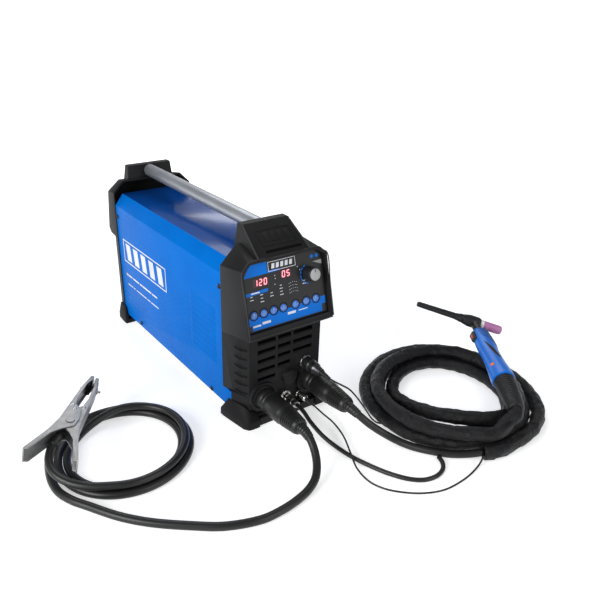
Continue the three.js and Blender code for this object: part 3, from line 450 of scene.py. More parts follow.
POWER_DIAMETER = 13
power_points = [
    (TORCH_AT[0], PLUG_END + 0.5, TORCH_AT[1]), (TORCH_AT[0], PLUG_END - 9, TORCH_AT[1]), (55, -391, 50),
    (67, -405, 36), (84, -419, 21), (99, -437, 11), (112, -459, 7), (131, -487, 6.8), (152, -510, 6.8),
    (172, -527, 9.5), (191, -540.4, 13.5),
]
power_path = smooth_path(power_points, 5)
power_lead = tube("power_lead_rubber", power_path, POWER_DIAMETER / 2 * MM, "lead_rubber", sides=20)
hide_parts("power_lead")

SLEEVE_DIAMETER = 25
SLEEVE_COIL = {"centre": (278, -383), "start": 263, "turns": 3.965}
LANES = (150, 125, 100, 112, 150)


def sleeve_radius(done):
    """Three lanes on the floor from the outside in, and a fourth on them that ends over the outer one."""
    r = LANES[0] + 18 * exp(-((done - round(done)) / 0.12) ** 2)
    r += 9 * exp(-((done % 1 - 0.86) / 0.07) ** 2)
    r += (LANES[1] - LANES[0]) * ease((done - 0.82) / 0.25)
    r += (LANES[2] - LANES[1]) * ease((done - 1.82) / 0.25)
    r += (LANES[3] - LANES[2]) * ease((done - 2.8) / 0.25)
    r += (LANES[4] - LANES[3]) * ease((done - 3.5) / 0.36)
    return r + 2.5 * sin(6 * pi * done)


def sleeve_height(done):
    climb = 24.5 * ease((done - 2.66) / 0.26)
    return 13.5 + climb - 3.5 * ease((done - 2.94) / 0.15) + 4 * ease((done - 3.48) / 0.15)


sleeve_points = [MOUTH, (206, -548.5, 13.5), (221, -552.5, 13.5), (238, -553, 13.5)]
sleeve_points += coil_path(**SLEEVE_COIL, radii=sleeve_radius, heights=sleeve_height)[1:]
BOOT_ROUTE = [(302, -489.9, 68.2), (292, -505, 66), (282, -520, 62.5), (271.9, -532.2, 60)]
sleeve_points += [(249, -537, 48), (262, -539.5, 55), BOOT_ROUTE[-1]]
sleeve_path = smooth_path(sleeve_points, 3)


def crumple(i, angle, length):
    """Slack cloth: long creases along the sleeve, short ones across it, and the edge of its closing flap."""
    around = Vector((cos(angle), sin(angle), 0))
    long_folds = noise.noise(Vector((around.x * 1.6, around.y * 1.6, length * 9)))
    short_folds = noise.noise(Vector((around.x * 1.1 + 5, around.y * 1.1, length * 55)))
    fine = noise.noise(Vector((around.x * 3 + 9, around.y * 3, length * 130)))
    twist = 2.2 + 1.2 * sin(length * 4)
    flap = exp(-(remainder(angle - twist, 2 * pi) / 0.16) ** 2)
    return (-0.9 + 1.2 * long_folds + 1.7 * short_folds + 0.8 * fine + 1.1 * flap) * MM


sleeve = tube("torch_sleeve_cloth", sleeve_path, SLEEVE_DIAMETER / 2 * MM, "sleeve_fabric", sides=36,
              swell=crumple)
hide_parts("torch_sleeve", "sleeve_coil")

GAS_DIAMETER = 7.5
gas_points = [
    (-3, -290.6, 40), (-3, -298.8, 40), (-1.5, -308, 37), (0, -317, 32), (1, -326, 25.5), (3, -343, 17),
    (6, -362, 9.5), (10, -384, 5), (15, -420, 4), (25, -456, 4), (38, -488, 4), (55, -514, 4),
    (73, -528, 4), (95, -532, 4), (115, -526, 4), (127, -514, 4), (132, -501.5, 4),
]
gas_path = smooth_path(gas_points, 4)
gas_hose = tube("gas_hose_rubber", gas_path, GAS_DIAMETER / 2 * MM, "lead_rubber")
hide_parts("gas_hose")

SIGNAL_DIAMETER = 3
signal_points = [
    (27, -284.8, 33), (27, -290.8, 33), (29, -306, 30), (33, -324, 23.5), (38, -344, 17), (39, -364, 10),
    (33, -384, 8.5), (24, -402, 9.8), (13, -424, 10.2), (3, -450, 5), (1, -480, 1.8), (8, -504, 1.8),
    (25, -526, 1.8), (52, -547, 1.8), (83, -559, 1.8), (122, -560, 1.8), (151, -556, 2.4), (174, -550.5, 6),
    (187, -546, 13.5),
]
signal_path = smooth_path(signal_points, 3)
signal_cable = tube("signal_cable_rubber", signal_path, SIGNAL_DIAMETER / 2 * MM, "lead_rubber", sides=12)
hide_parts("signal_cable")

TWIN_DIAMETER = 4
twin_points = [
    (42, -304.6, 92), (43, -332, 91), (54, -343, 84), (68, -348, 73), (80, -351, 58), (92, -354, 40),
    (102, -360, 22), (108, -367, 9), (113, -377, 4), (121, -385, 4),
]
twin_path = smooth_path(twin_points, 3)


def twin_cores(i, angle, length):
    """Two cores side by side in one skin."""
    return -0.35 * abs(sin(angle)) * TWIN_DIAMETER / 2 * MM


twin_cable = tube("control_cable_rubber", twin_path, TWIN_DIAMETER / 2 * MM, "lead_rubber", swell=twin_cores)
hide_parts("control_cable")


# ---------------------------------------------------------------- solids in mesh code
class Maker:
    """Collects closed solids, given in millimetres, into one piece."""

    def __init__(self, place=None):
        self.work = bmesh.new()
        self.place = place or (lambda a, b, c: Vector((a, b, c)))

    def prism(self, outline, low, high):
        bottom = [self.work.verts.new(self.place(a, b, low) * MM) for a, b in outline]
        top = [self.work.verts.new(self.place(a, b, high) * MM) for a, b in outline]
        count = len(outline)
        self.work.faces.new(bottom[::-1])
        self.work.faces.new(top)
        for i in range(count):
            j = (i + 1) % count
            self.work.faces.new((bottom[i], bottom[j], top[j], top[i]))

    def bar(self, left, right, low, high, back, front):
        self.prism([(left, low), (right, low), (right, high), (left, high)], back, front)

    def disc(self, x, y, radius, low, high, sides=20):
        ring = [(x + radius * cos(2 * pi * k / sides), y + radius * sin(2 * pi * k / sides))
                for k in range(sides)]
        self.prism(ring, low, high)

    def lathe(self, profile, origin=(0, 0, 0), axis=(0, 0, 1), sides=28, ripple=None):
        """A turned solid. profile is (radius, height) from foot to top, both ends on the axis or closed flat.

        A profile that ends on its first point makes a hoop."""
        turn = Vector((0, 0, 1)).rotation_difference(Vector(axis))
        hoop = profile[0] == profile[-1]
        rings = []
        for row, (radius, height) in enumerate(profile[:-1] if hoop else profile):
            ring = []
            for k in range(sides if radius > 1e-6 else 1):
                a = 2 * pi * k / sides
                r = radius + (ripple(row, a) if ripple and radius > 1e-6 else 0)
                p = Vector(origin) + turn @ Vector((r * cos(a), r * sin(a), height))
                ring.append(self.work.verts.new(self.place(*p) * MM))
            rings.append(ring)
        if hoop:
            rings.append(rings[0])
        for low, high in zip(rings, rings[1:]):
            for k in range(sides):
                corners = [low[k % len(low)], low[(k + 1) % len(low)]]
                corners += [high[(k + 1) % len(high)], high[k % len(high)]]
                corners = list(dict.fromkeys(corners))
                if len(corners) > 2:
                    self.work.faces.new(corners)
        for ring in () if hoop else (rings[0], rings[-1]):
            if len(ring) > 1:
                self.work.faces.new(ring)

    def done(self, name, material, body=BODY, bevel=0.0, segments=2, slot=None, sharp=35):
        bmesh.ops.recalc_face_normals(self.work, faces=self.work.faces)
        if bevel:
            round_edges(self.work, bevel, segments)
        piece = from_work(name, self.work, sharp)
        look(piece, material)
        belongs(piece, body)
        return piece


def from_work(name, work, sharp):
    """An object from a finished bmesh, with edges sharper than that many degrees shaded hard."""
    mesh = bpy.data.meshes.new(name)
    work.to_mesh(mesh)
    work.free()
    piece = in_scene(name, mesh)
    mesh.set_sharp_from_angle(angle=radians(sharp))
    return piece


def round_edges(work, width, segments=2):
    edges = [e for e in work.edges if e.is_manifold and e.calc_face_angle() > radians(30)]
    bmesh.ops.bevel(work, geom=edges, offset=width * MM, segments=segments, profile=0.6, affect="EDGES",
                    clamp_overlap=True)


def refined(node, width, segments=2):
    """A copy of a CAD node with its flat faces merged and its hard edges rounded, standing for that node."""
    source = frame["nodes"][node]
    work = bmesh.new()
    work.from_mesh(source.data)
    bmesh.ops.remove_doubles(work, verts=work.verts, dist=2e-6)
    bmesh.ops.dissolve_limit(work, angle_limit=radians(1), verts=work.verts, edges=work.edges)
    round_edges(work, width, segments)
    piece = from_work(node + "_shape", work, 40)
    slot = next(p["material_slot"] for p in frame["record"]["subparts"] if p["node"] == node)
    look(piece, slot)
    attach(piece, body_of(node))
    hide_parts(node)
    return piece


# ---------------------------------------------------------------- the machine's housing
stand_in = {}


def stand(node, piece):
    """Notes the piece that is shown in place of a CAD node."""
    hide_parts(node)
    stand_in[node] = piece
    return piece


# widths of the rounded edges of the CAD nodes that are shown refined
for width, nodes in (
    (1.2, "rear_bezel front_bezel"), (1.8, "foot_front_right foot_front_left foot_rear_right foot_rear_left"),
    (0.4, "handle_tube"), (0.7, "earth_socket torch_socket"), (0.5, "control_socket"),
    (0.35, "gas_outlet remote_connector"), (0.4, "control_plug"), (0.6, "switch_frame mains_gland"),
    (0.5, "gas_inlet"), (0.6, "fan_frame"), (0.4, "base_tray"), (0.3, "heat_sink"), (2.0, "main_transformer"),
    (1.0, "output_inductor bulk_capacitor"), (0.2, " ".join(f"push_button_{k}" for k in range(1, 8))),
    (0.5, "power_switch fan_rotor wrap_cover"),
):
    for node in nodes.split():
        stand_in[node] = refined(node, width)
look(stand_in["control_plug"], "fitting_dark")
look(stand_in["gas_outlet"], "fitting_nickel")
look(stand_in["remote_connector"], "fitting_nickel")

cover = stand_in["wrap_cover"]
cover.data.materials.append(LOOKS["cover_inside_painted_shade"])
cover.data.materials.append(LOOKS["cover_top_painted_shade"])
COVER_HALF = 85
for face in cover.data.polygons:
    c, n = face.center / MM, face.normal
    # Faces turned inwards, or downwards above the floor, take the dark copy of the blue: painted shade.
    if c.x * n.x < -1 or (c.z > 150 and n.z < -0.5) or (n.z < -0.5 and c.z > 30):
        face.material_index = 1
    # Faces turned up take the darker top copy of the blue: painted shade.
    elif n.z > 0.95:
        face.material_index = 2

SIDES = {
    "left": lambda a, b, c: Vector((-COVER_HALF - c, a, b)),
    "right": lambda a, b, c: Vector((COVER_HALF + c, a, b)),
}
PRINT = 0.12
LOUVRE = {"rear": -84, "front": -168, "low": 86, "rows": 9, "pitch": 12}


def slanted(left, low, high, width, lean):
    """The outline of a bar that leans to the right by that much at its top."""
    return [(left, low), (left + width, low), (left + width + lean, high), (left + lean, high)]


def louvre_hoods(side):
    """Pressed hoods over the cover's slots: each stands out along its lower edge and opens downwards."""
    maker = Maker()
    out = -1 if side == "left" else 1
    steps = 24
    for row in range(LOUVRE["rows"]):
        z = LOUVRE["low"] + row * LOUVRE["pitch"]
        rear, front = LOUVRE["rear"] + 3, LOUVRE["front"] - 3
        rings = []
        for i in range(steps + 1):
            t = i / steps
            y = rear + (front - rear) * t
            rise = min(1.0, 10 * t, 10 * (1 - t)) ** 0.5
            depth = 0.15 + 2.4 * rise
            section = ((9.5, 0.05), (6.5, 0.05 + 0.35 * depth), (2.5, 0.85 * depth), (0.8, depth),
                       (0.0, depth - 0.1), (-0.4, depth - 0.5), (0.4, depth - 0.9 * rise - 0.1), (5.0, 0.0))
            rings.append([Vector((out * (COVER_HALF + c), y, z + b)) * MM for b, c in section])
        verts = [[maker.work.verts.new(p) for p in ring] for ring in rings]
        for low, high in zip(verts, verts[1:]):
            for k in range(len(low)):
                j = (k + 1) % len(low)
                maker.work.faces.new((low[k], low[j], high[j], high[k]))
        maker.work.faces.new(verts[0])
        maker.work.faces.new(verts[-1])
    return maker.done(f"louvre_hoods_{side}", "cover_blue", sharp=50)


def stroke_box(maker, left, right, low, high, width, height=PRINT):
    """The outline of a rectangle, drawn as four bars."""
    maker.bar(left, right, low, low + width, 0, height)
    maker.bar(left, right, high - width, high, 0, height)
    maker.bar(left, left + width, low + width, high - width, 0, height)
    maker.bar(right - width, right, low + width, high - width, 0, height)


for side, place in SIDES.items():
    louvre_hoods(side)
    marks = Maker(place)
    stroke_box(marks, 14, 209, 149, 198, 2.4)
    for k in range(5):
        marks.prism(slanted(26 + 36 * k, 156, 191, 21, 6), 0, PRINT)
    for start, size in ((60, 22), (86, 40), (130, 10), (144, 30), (178, 18)):
        marks.bar(start, start + size, 118, 121.5, 0, PRINT)
    for start, size in ((56, 34), (94, 14), (112, 48), (166, 8), (178, 24)):
        marks.bar(start, start + size, 97, 99.5, 0, PRINT)
    marks.done(f"side_stripes_{side}", "print_white")

    accents = Maker(place)
    accents.disc(127, 119.8, 2.2, 0, PRINT)
    accents.bar(198, 206, 117, 122.5, 0, PRINT)
    accents.done(f"side_accents_{side}", "print_orange")

    screws = Maker(place)
    # Dark bars in each screw head stand for its cross recess: painted shade.
    dark = Maker(place)
    for y, z in ((-186, 238), (226, 240), (-150.5, 23), (148, 27)):
        screws.lathe([(0, -1), (4.6, -1), (4.6, 0.5), (4.0, 1.5), (2.6, 2.2), (0, 2.4)], (y, z, 0), sides=20)
        for dy, low, high in ((2.0, -0.45, 0.45), (0.45, -2.0, -0.45), (0.45, 0.45, 2.0)):
            dark.bar(y - dy, y + dy, z + low, z + high, 1.6, 2.45)
    screws.done(f"cover_screws_{side}", "screw_black")
    dark.done(f"screw_recesses_{side}", "painted_shade_black", slot="screw_black")

# ribs moulded in the slanting cheeks of the front bezel
for side, out in (("left", -1), ("right", 1)):
    for row in range(6):
        ribs = []
        for i in range(9):
            t = i / 8
            y = -226 - 25 * t
            x = 85 - (-218 - y) * 12 / 38.5
            ribs.append((out * (x + 0.25), y, 62 + 16.5 * row - 3.5 * sin(pi * t)))
        tube(f"cheek_rib_{side}_{row + 1}", [mm(*p) for p in ribs], 1.4 * MM, "foot_black", sides=8)

# the front tower's sloping face: a long slot and a raised frame
TOWER_FOOT = Vector((0, -248, 296.8))
TOWER_UP = (Vector((0, -192, 336.5)) - TOWER_FOOT).normalized()
TOWER_OUT = Vector((1, 0, 0)).cross(TOWER_UP)


def tower_at(a, b, c):
    return TOWER_FOOT + Vector((a, 0, 0)) + TOWER_UP * b + TOWER_OUT * c


# The slot is a near-black strip standing slightly out of the face: painted shade for its hollow.
slot = Maker(tower_at)
slot.prism([(-31, 8), (40, 8), (38, 13), (-29, 13)], -1.5, 0.25)
slot.done("tower_slot", "painted_shade_black", bevel=0.2, slot="bezel_black")
emboss = Maker(tower_at)
stroke_box(emboss, -30, 36, 21, 53, 1.6, 0.7)
for k in range(4):
    emboss.prism(slanted(-21 + 13 * k, 28, 46, 8, 3), -0.5, 0.6)
emboss.done("tower_emboss", "bezel_black", bevel=0.25)


# Round beads on the bezel's rims and edges, coloured lighter than the bezel as painted highlight.
def highlight_bead(name, path, radius):
    tube(name, path, radius * MM, "bezel_edge_highlight", sides=8)


rim = [(-84.2, -277, 179), (-82.6, -252.5, 284), (-68.4, -247.4, 295.2)]
rim += [(-x, y, z) for x, y, z in rim[::-1]]
halved = [p for a, b in zip(rim, rim[1:]) for p in (a, tuple(Vector(a).lerp(Vector(b), 0.5)))]
highlight_bead("panel_rim_highlight_bead", smooth_path(halved + [rim[-1]], 3), 1.0)
highlight_bead("panel_lip_highlight_bead", [mm(-84 + 4 * k, -275.2, 175.6) for k in range(43)], 1.3)
for side, out in (("left", -1), ("right", 1)):
    slope = [mm(out * (49.4 - 5.8 * k / 12), -248 + 55 * k / 12, 297.6 + 38 * k / 12) for k in range(13)]
    highlight_bead(f"tower_edge_highlight_{side}", slope, 1.3)

# near-black strips behind the grille, painted shade for its dark inside, so that nothing behind them shows
shade_strips = Maker()
for row in range(6):
    z = 80 + 17.7 * row
    shade_strips.prism([(-60, -246.5), (60, -246.5), (60, -245), (-60, -245)], z, z + 17.2)
shade_strips.done("grille_shade_strips", "painted_shade_black", slot="bezel_black")

# ---------------------------------------------------------------- the control panel
LIP = Vector((0, -275, 177))
PANEL_UP = Vector((0, 0.23716, 0.97147))
PANEL_OUT = Vector((0, -0.97147, 0.23716))
FILM = -6.2


def panel_at(a, b, c):
    return LIP + Vector((a, 0, 0)) + PANEL_UP * b + PANEL_OUT * c


def film_at(a, b, c):
    return panel_at(a, b, c + FILM)


bands = Maker(panel_at)
bands.prism([(-76, 97), (-70, 97), (-6, 98), (-10, 101), (-31, 101), (-31, 116.5), (-62, 116.5)],
            FILM, FILM + 0.1)
bands.prism([(-71, 11.5), (68, 11.5), (68, 24), (76, 24), (76, 37), (44, 36), (15, 33), (-79, 32), (-79, 20),
             (-71, 20)], FILM, FILM + 0.1)
bands.done("panel_bands", "print_blue")
strip = Maker(panel_at)
strip.prism([(-76, 67.5), (-35, 69), (-33, 74), (-76, 72.5)], FILM, FILM + 0.12)
strip.done("panel_label_strip", "print_blue")
white = Maker(film_at)
stroke_box(white, -29, 24, 99, 114.5, 0.8)
for k in range(5):
    white.prism(slanted(-23 + 8.6 * k, 103, 111, 5.5, 1.5), 0, 0.14)
LABELS = [(-70, -55, 16.5, 19.5), (-52, -36, 18, 22), (-2, 14, 22, 26), (20, 38, 23.5, 25), (-66, -50, 70, 72)]
for label in LABELS:
    white.bar(*label, 0.02, 0.16)
for x, y in ((-18, 91), (-18, 86), (-20, 77), (27, 96), (31, 90)):
    white.disc(x, y, 0.8, 0, 0.14, sides=12)
ROWS = {-66: (61, 66), -47: (55, 60.5, 66), -28: (60, 65), -9: (58, 63, 68, 73), 37: (66, 71),
        57: (66, 71, 74)}
for x, rows in ROWS.items():
    for k, y in enumerate(rows):
        half = (3.4, 2.2, 2.8, 1.8)[k % 4]
        white.bar(x - half, x + half, y - 0.55, y + 0.55, 0, 0.14)
for k in range(4):
    for i in range(5):
        a = radians(150 - 28 * i)
        x, y = 15 + 9 * cos(a), 55 + 5.2 * k + 3 * sin(a)
        white.bar(x - 0.7, x + 0.7, y - 0.3, y + 0.3, 0, 0.14)
white.done("panel_marks", "print_white")
arcs = Maker(film_at)
KNOB = (48, 80)


def knob_arc(radius, start, end):
    """Five points on an arc round the knob, between two angles in degrees."""
    angles = [radians(start + (end - start) * i / 4) for i in range(5)]
    return [(KNOB[0] + radius * cos(a), KNOB[1] + radius * sin(a)) for a in angles]


for k in range(7):
    start = 112 + 22 * k
    arcs.prism(knob_arc(17.4, start, start + 15) + knob_arc(15.2, start + 15, start), 0, 0.14)
for x in (57, 67):
    arcs.disc(x, 107, 3.0, 0, 0.14)
arcs.done("panel_arcs", "print_blue")
grey = Maker(film_at)
grey.prism([(58, 98), (76, 91), (76, 99)], 0, 0.14)
grey.done("panel_triangle", "print_grey")

# a moulded ring round each push button
seats = Maker(film_at)
for x in (-66, -47, -28, -9, 15, 37, 57):
    seats.lathe([(6.9, 0), (8.6, 0), (8.3, 0.55), (7.2, 0.75), (6.9, 0.3), (6.9, 0)], (x, 36, 0))
seats.done("button_seats", "bezel_black", slot="overlay_film")

knob = Maker(panel_at)


def knob_flutes(row, a):
    return -0.35 * max(0.0, cos(18 * a)) if 1 <= row <= 3 else 0.0


knob.lathe([(12.5, FILM + 0.6), (12.5, FILM + 1.2), (12.3, 6.5), (12.0, 10.5), (11.2, 11.8), (10.2, 12),
            (0, 12)], (*KNOB, 0), sides=72, ripple=knob_flutes)
stand("encoder_knob", knob.done("encoder_knob_shape", "knob_black", body=body_of("encoder_knob")))
face = Maker(panel_at)
face.lathe([(0, 11.9), (9.9, 11.9), (9.9, 12.35), (9.4, 12.6), (0, 12.6)], (*KNOB, 0), sides=48)
face.done("encoder_knob_face", "knob_face", body=body_of("encoder_knob"))
pointer = Maker(panel_at)
pointer.bar(KNOB[0] - 0.7, KNOB[0] + 0.7, KNOB[1] + 4, KNOB[1] + 9, 12.5, 12.75)
pointer.done("encoder_knob_pointer", "knob_black", body=body_of("encoder_knob"))

# seven-segment digits: the segments lit in each figure
LIT = {"0": "abcdef", "1": "bc", "2": "abged", "5": "afgcd"}
GLASS = -6.1


def digit(maker, x, up, tall, wide, figure, grow):
    """One leaning figure; grow widens its segments for the painted glow around them."""
    half, thick = tall / 2, 0.62 + grow
    ends = {"a": ((-1, 1), (1, 1)), "b": ((1, 1), (1, 0)), "c": ((1, 0), (1, -1)), "d": ((-1, -1), (1, -1)),
            "e": ((-1, -1), (-1, 0)), "f": ((-1, 0), (-1, 1)), "g": ((-1, 0), (1, 0))}
    for name in LIT[figure]:
        (x0, y0), (x1, y1) = ends[name]
        a = Vector((x + x0 * wide / 2 + 0.12 * y0 * half, up + y0 * half))
        b = Vector((x + x1 * wide / 2 + 0.12 * y1 * half, up + y1 * half))
        ahead = (b - a).normalized()
        across = Vector((-ahead.y, ahead.x)) * thick
        a, b = a + ahead * 0.5, b - ahead * 0.5
        point = ahead * thick * 0.7
        maker.prism([a - across, b - across, b + point, b + across, a + across, a - point], GLASS,
                    GLASS + (0.16 if grow else 0.22))


for body, x, up, figures in (("current", -46, 86, "120"), ("function", 3, 90, "05")):
    # Each display has its lit digits, and a wider and fainter copy round them as painted glow.
    for kind, grow in (("digits", 0.0), ("halo_glow", 0.55)):
        lit = Maker(panel_at)
        for k, figure in enumerate(figures):
            digit(lit, x + 9.0 * (k - (len(figures) - 1) / 2), up, 9.2, 4.6, figure, grow)
        lit.done(f"display_{body}_{kind}", "segment_red" if kind == "digits" else "segment_glow_paint")

# ---------------------------------------------------------------- plugs and fittings
PLUG_FACE = -263.6
FORWARD = (0, -1, 0)


def plug(node, at):
    """A current plug: a pin, a smooth grip with two shallow grooves, and a ribbed tapered tail."""
    profile = [(0, -24), (5, -24), (6.2, -22.5), (6.2, 0), (18.2, 0), (19, 0.8), (19, 12), (18.4, 12.7),
               (18.4, 14.3), (19, 15), (19, 20), (18.4, 20.7), (18.4, 22.3), (19, 23), (19, 59), (18.6, 60.2)]
    for k in range(7):
        start, r = 66 + 4.6 * k, 17.8 - 0.5 * k
        profile += [(r - 0.9, start), (r - 0.9, start + 0.9), (r - 0.1, start + 1.4), (r - 0.1, start + 4.2)]
    profile += [(13.9, 99.4), (13.1, 102.0), (12.0, 103), (0, 103)]
    maker = Maker()
    maker.lathe(profile, (at[0], PLUG_FACE, at[1]), FORWARD, 44)
    stand(node, maker.done(f"{node}_shape", "lead_rubber", body=body_of(node), sharp=50))


plug("earth_plug", EARTH_AT)
plug("torch_plug", TORCH_AT)


def relief(name, path, length, thick, thin, rib):
    """A tapered, ribbed strain relief over the first part of a cord."""
    walked, points = 0.0, [path[0]]
    for a, b in zip(path, path[1:]):
        walked += (b - a).length
        if walked > length * MM:
            break
        points.append(b)
    fine = smooth_path([p / MM for p in points], 0.6)

    def taper(i, angle, distance):
        share = distance / (length * MM)
        groove = 0.5 * (1 + cos(2 * pi * distance / (rib * MM)))
        return ((thin - thick) * share - 0.55 * groove) * MM

    return tube(name, fine, thick * MM, "lead_rubber", sides=24, swell=taper)


reliefs = {
    "earth": relief("earth_plug_relief", earth_path, 26, 9.6, 7.6, 4.2),
    "power": relief("torch_plug_relief", power_path, 26, 9.6, 7.6, 4.2),
    "signal": relief("signal_relief", signal_path, 22, 3.6, 2.2, 2.6),
    "twin": relief("control_relief", twin_path, 22, 5.2, 2.8, 2.8),
}
ferrule = Maker()
ferrule.lathe([(0, 0), (5.9, 0), (6.3, 0.5), (6.3, 3), (5.6, 3.8), (5.6, 8), (6.2, 8.8), (6.2, 14), (5.6, 15),
               (3.4, 15.2), (0, 15.2)], (-3, -283.5, 40), FORWARD, 24)
gas_ferrule = ferrule.done("gas_hose_ferrule", "fitting_steel")
hem = tube("sleeve_hem", smooth_path([p / MM for p in sleeve_path[:6]], 1.5), 13.0 * MM, "sleeve_fabric",
           sides=36, swell=lambda i, a, d: 0.35 * MM * sin(7 * a))

# ---------------------------------------------------------------- earth clamp
CLAMP_TURN = Matrix.Rotation(0.9, 3, "Z") @ Matrix.Rotation(0.21, 3, "X")
CLAMP_AT = Vector((-350, -162, 39.3))
CLAMP_HIGH = 27


def clamp_at(a, b, c):
    return CLAMP_AT + CLAMP_TURN @ Vector((a, b, c))


for node in ("clamp_lever_fixed", "clamp_lever_moving"):
    stand_in[node] = refined(node, 0.45)
stand_in["clamp_pin"] = refined("clamp_pin", 0.6, segments=3)
coil = []
for k in range(111):
    a = 2 * pi * k / 20
    coil.append((6.1 * sin(a), 6.1 * cos(a), 6.8 + 13.4 * k / 110))
wound = [(-30, 15, 6.8), (-12, 9.5, 6.8)] + coil[:109]
leg = coil[106:] + [(-12, -9.5, 20.2), (-30, -15, 20.2)]


def clamp_wire(name, points, radius, node):
    """Spring wire that moves with a node of the clamp."""
    return tube(name, smooth_path([clamp_at(*p) for p in points], 0.9), radius * MM, "fitting_steel", sides=8,
                body=body_of(node))


stand("clamp_spring", clamp_wire("clamp_spring_wire", wound, 1.0, "clamp_spring"))
# The leg lies inside the wire's last part turn, so it stays joined to it as the lever turns.
extras = [clamp_wire("clamp_spring_leg", leg, 0.95, "clamp_lever_moving")]
for node, mirror, top in (("clamp_lever_fixed", 1, CLAMP_HIGH), ("clamp_lever_moving", -1, CLAMP_HIGH - 2.3)):
    bolts = Maker(clamp_at)
    for x, y in ((30, 3), (40, 9)):
        bolts.lathe([(0, -0.6), (3.1, -0.6), (3.1, 0.3), (2.6, 1.0), (1.4, 1.5), (0, 1.6)],
                    (x, mirror * y, top), sides=18)
    jaw_bolt = ((104, mirror * 10.6, 13.5), (0.09, mirror, 0))
    bolts.lathe([(0, -2), (4.6, -2), (4.6, 2.6), (0, 2.6)], *jaw_bolt, 6)
    bolts.lathe([(0, -2), (2.2, -2), (2.2, 6.4), (1.7, 7), (0, 7)], *jaw_bolt, 14)
    extras.append(bolts.done(f"{node}_bolts", "fitting_steel", body=body_of(node), bevel=0.2, slot="clamp_steel"))
    pads = Maker(clamp_at)
    low, high = (2.4, 24.6) if mirror > 0 else (4.7, 22.3)
    teeth = []
    for k in range(7):
        teeth += [(104 + 2 * k, 2.9), (105 + 2 * k, 1.9)]
    outline = teeth + [(117.6, 2.9), (117.6, 9.6), (104, 10.6)]
    pads.prism([(x, mirror * y) for x, y in outline], low, high)
    extras.append(pads.done(f"{node}_pad", "screw_black", body=body_of(node), slot="clamp_steel"))
    grips = Maker(clamp_at)
    edge = [(x, mirror * y) for x, y in ((-83, 35), (-40, 20.5), (-38, 23), (-81, 39.5))]
    for face, out in ((low - 2.4, -1), (high + 2.4, 1)):
        grips.prism(edge, face, face + 0.35 * out)
    extras.append(grips.done(f"{node}_grip_bead", "clamp_steel", body=body_of(node), bevel=0.1))
extras.append(tube("clamp_cable_lug", earth_path[-5:], 7.3 * MM, "lead_rubber", sides=22,
                   body=body_of("clamp_lever_fixed")))

# ---------------------------------------------------------------- torch
HEAD = Vector((417, -315, 88))
ALONG = (Vector((312.7, -473.7, 70)) - HEAD).normalized()
TO_CAP = (Vector((331.8, -241, 120)) - HEAD).normalized()
ASIDE = ALONG.cross(TO_CAP).normalized()
AFRONT = ASIDE.cross(ALONG).normalized()
# the handle's sections: distance along it, half width, half depth
HANDLE = [(36, 12, 13), (43, 13.8, 15.8), (64, 15, 18.5), (86, 16, 19), (114, 15.5, 17.5), (144, 17, 18),
          (172, 19.5, 20), (190, 20.5, 20.5)]


def torch_at(a, b, c):
    return HEAD + ALONG * a + ASIDE * b + AFRONT * c


def handle_size(reach):
    """Half width and half depth of the handle at a distance along it, smoothly between its sections."""
    for k, (low, high) in enumerate(zip(HANDLE, HANDLE[1:])):
        if reach <= high[0] or k == len(HANDLE) - 2:
            before, after = HANDLE[max(k - 1, 0)], HANDLE[min(k + 2, len(HANDLE) - 1)]
            t = (reach - low[0]) / (high[0] - low[0])
            sizes = []
            for n in (1, 2):
                m0 = (high[n] - before[n]) / (high[0] - before[0]) * (high[0] - low[0])
                m1 = (after[n] - low[n]) / (after[0] - low[0]) * (high[0] - low[0])
                sizes.append((2 * t ** 3 - 3 * t * t + 1) * low[n] + (t ** 3 - 2 * t * t + t) * m0
                             + (3 * t * t - 2 * t ** 3) * high[n] + (t ** 3 - t * t) * m1)
            return sizes


def on_handle(reach, degrees, lift):
    wide, deep = handle_size(reach)
    a = radians(degrees)
    return torch_at(reach, (wide + lift) * cos(a), (deep + lift) * sin(a))


def loft(name, rings, material, body):
    """A closed skin over rings of points in millimetres."""
    faces = ring_faces(len(rings), len(rings[0]))
    piece = piece_from(name, [p * MM for ring in rings for p in ring], faces, material, body=body)
    piece.data.set_sharp_from_angle(angle=radians(45))
    return piece


LEAF_STEPS = 24


def leaf(name, reaches, centres, halves, lift, material):
    """A pad that follows the handle, slanting from one angle to another and pointed at both ends."""
    rings = []
    for i in range(LEAF_STEPS + 1):
        t = i / LEAF_STEPS
        reach = reaches[0] + (reaches[1] - reaches[0]) * t
        centre = centres[0] + (centres[1] - centres[0]) * t
        spanned = (halves[0] + (halves[1] - halves[0]) * t) * max(0.02, sin(pi * t)) ** 0.5
        rise = lift if 0 < i < LEAF_STEPS else 0.05
        ring = [on_handle(reach, centre + spanned * share, rise if abs(share) < 1 else 0.05)
                for share in (-1, -0.86, -0.5, 0, 0.5, 0.86, 1)]
        ring += [on_handle(reach, centre + spanned * share, -1.0) for share in (0.9, 0, -0.9)]
        rings.append(ring)
    return loft(name, rings, material, body_of("torch_handle"))


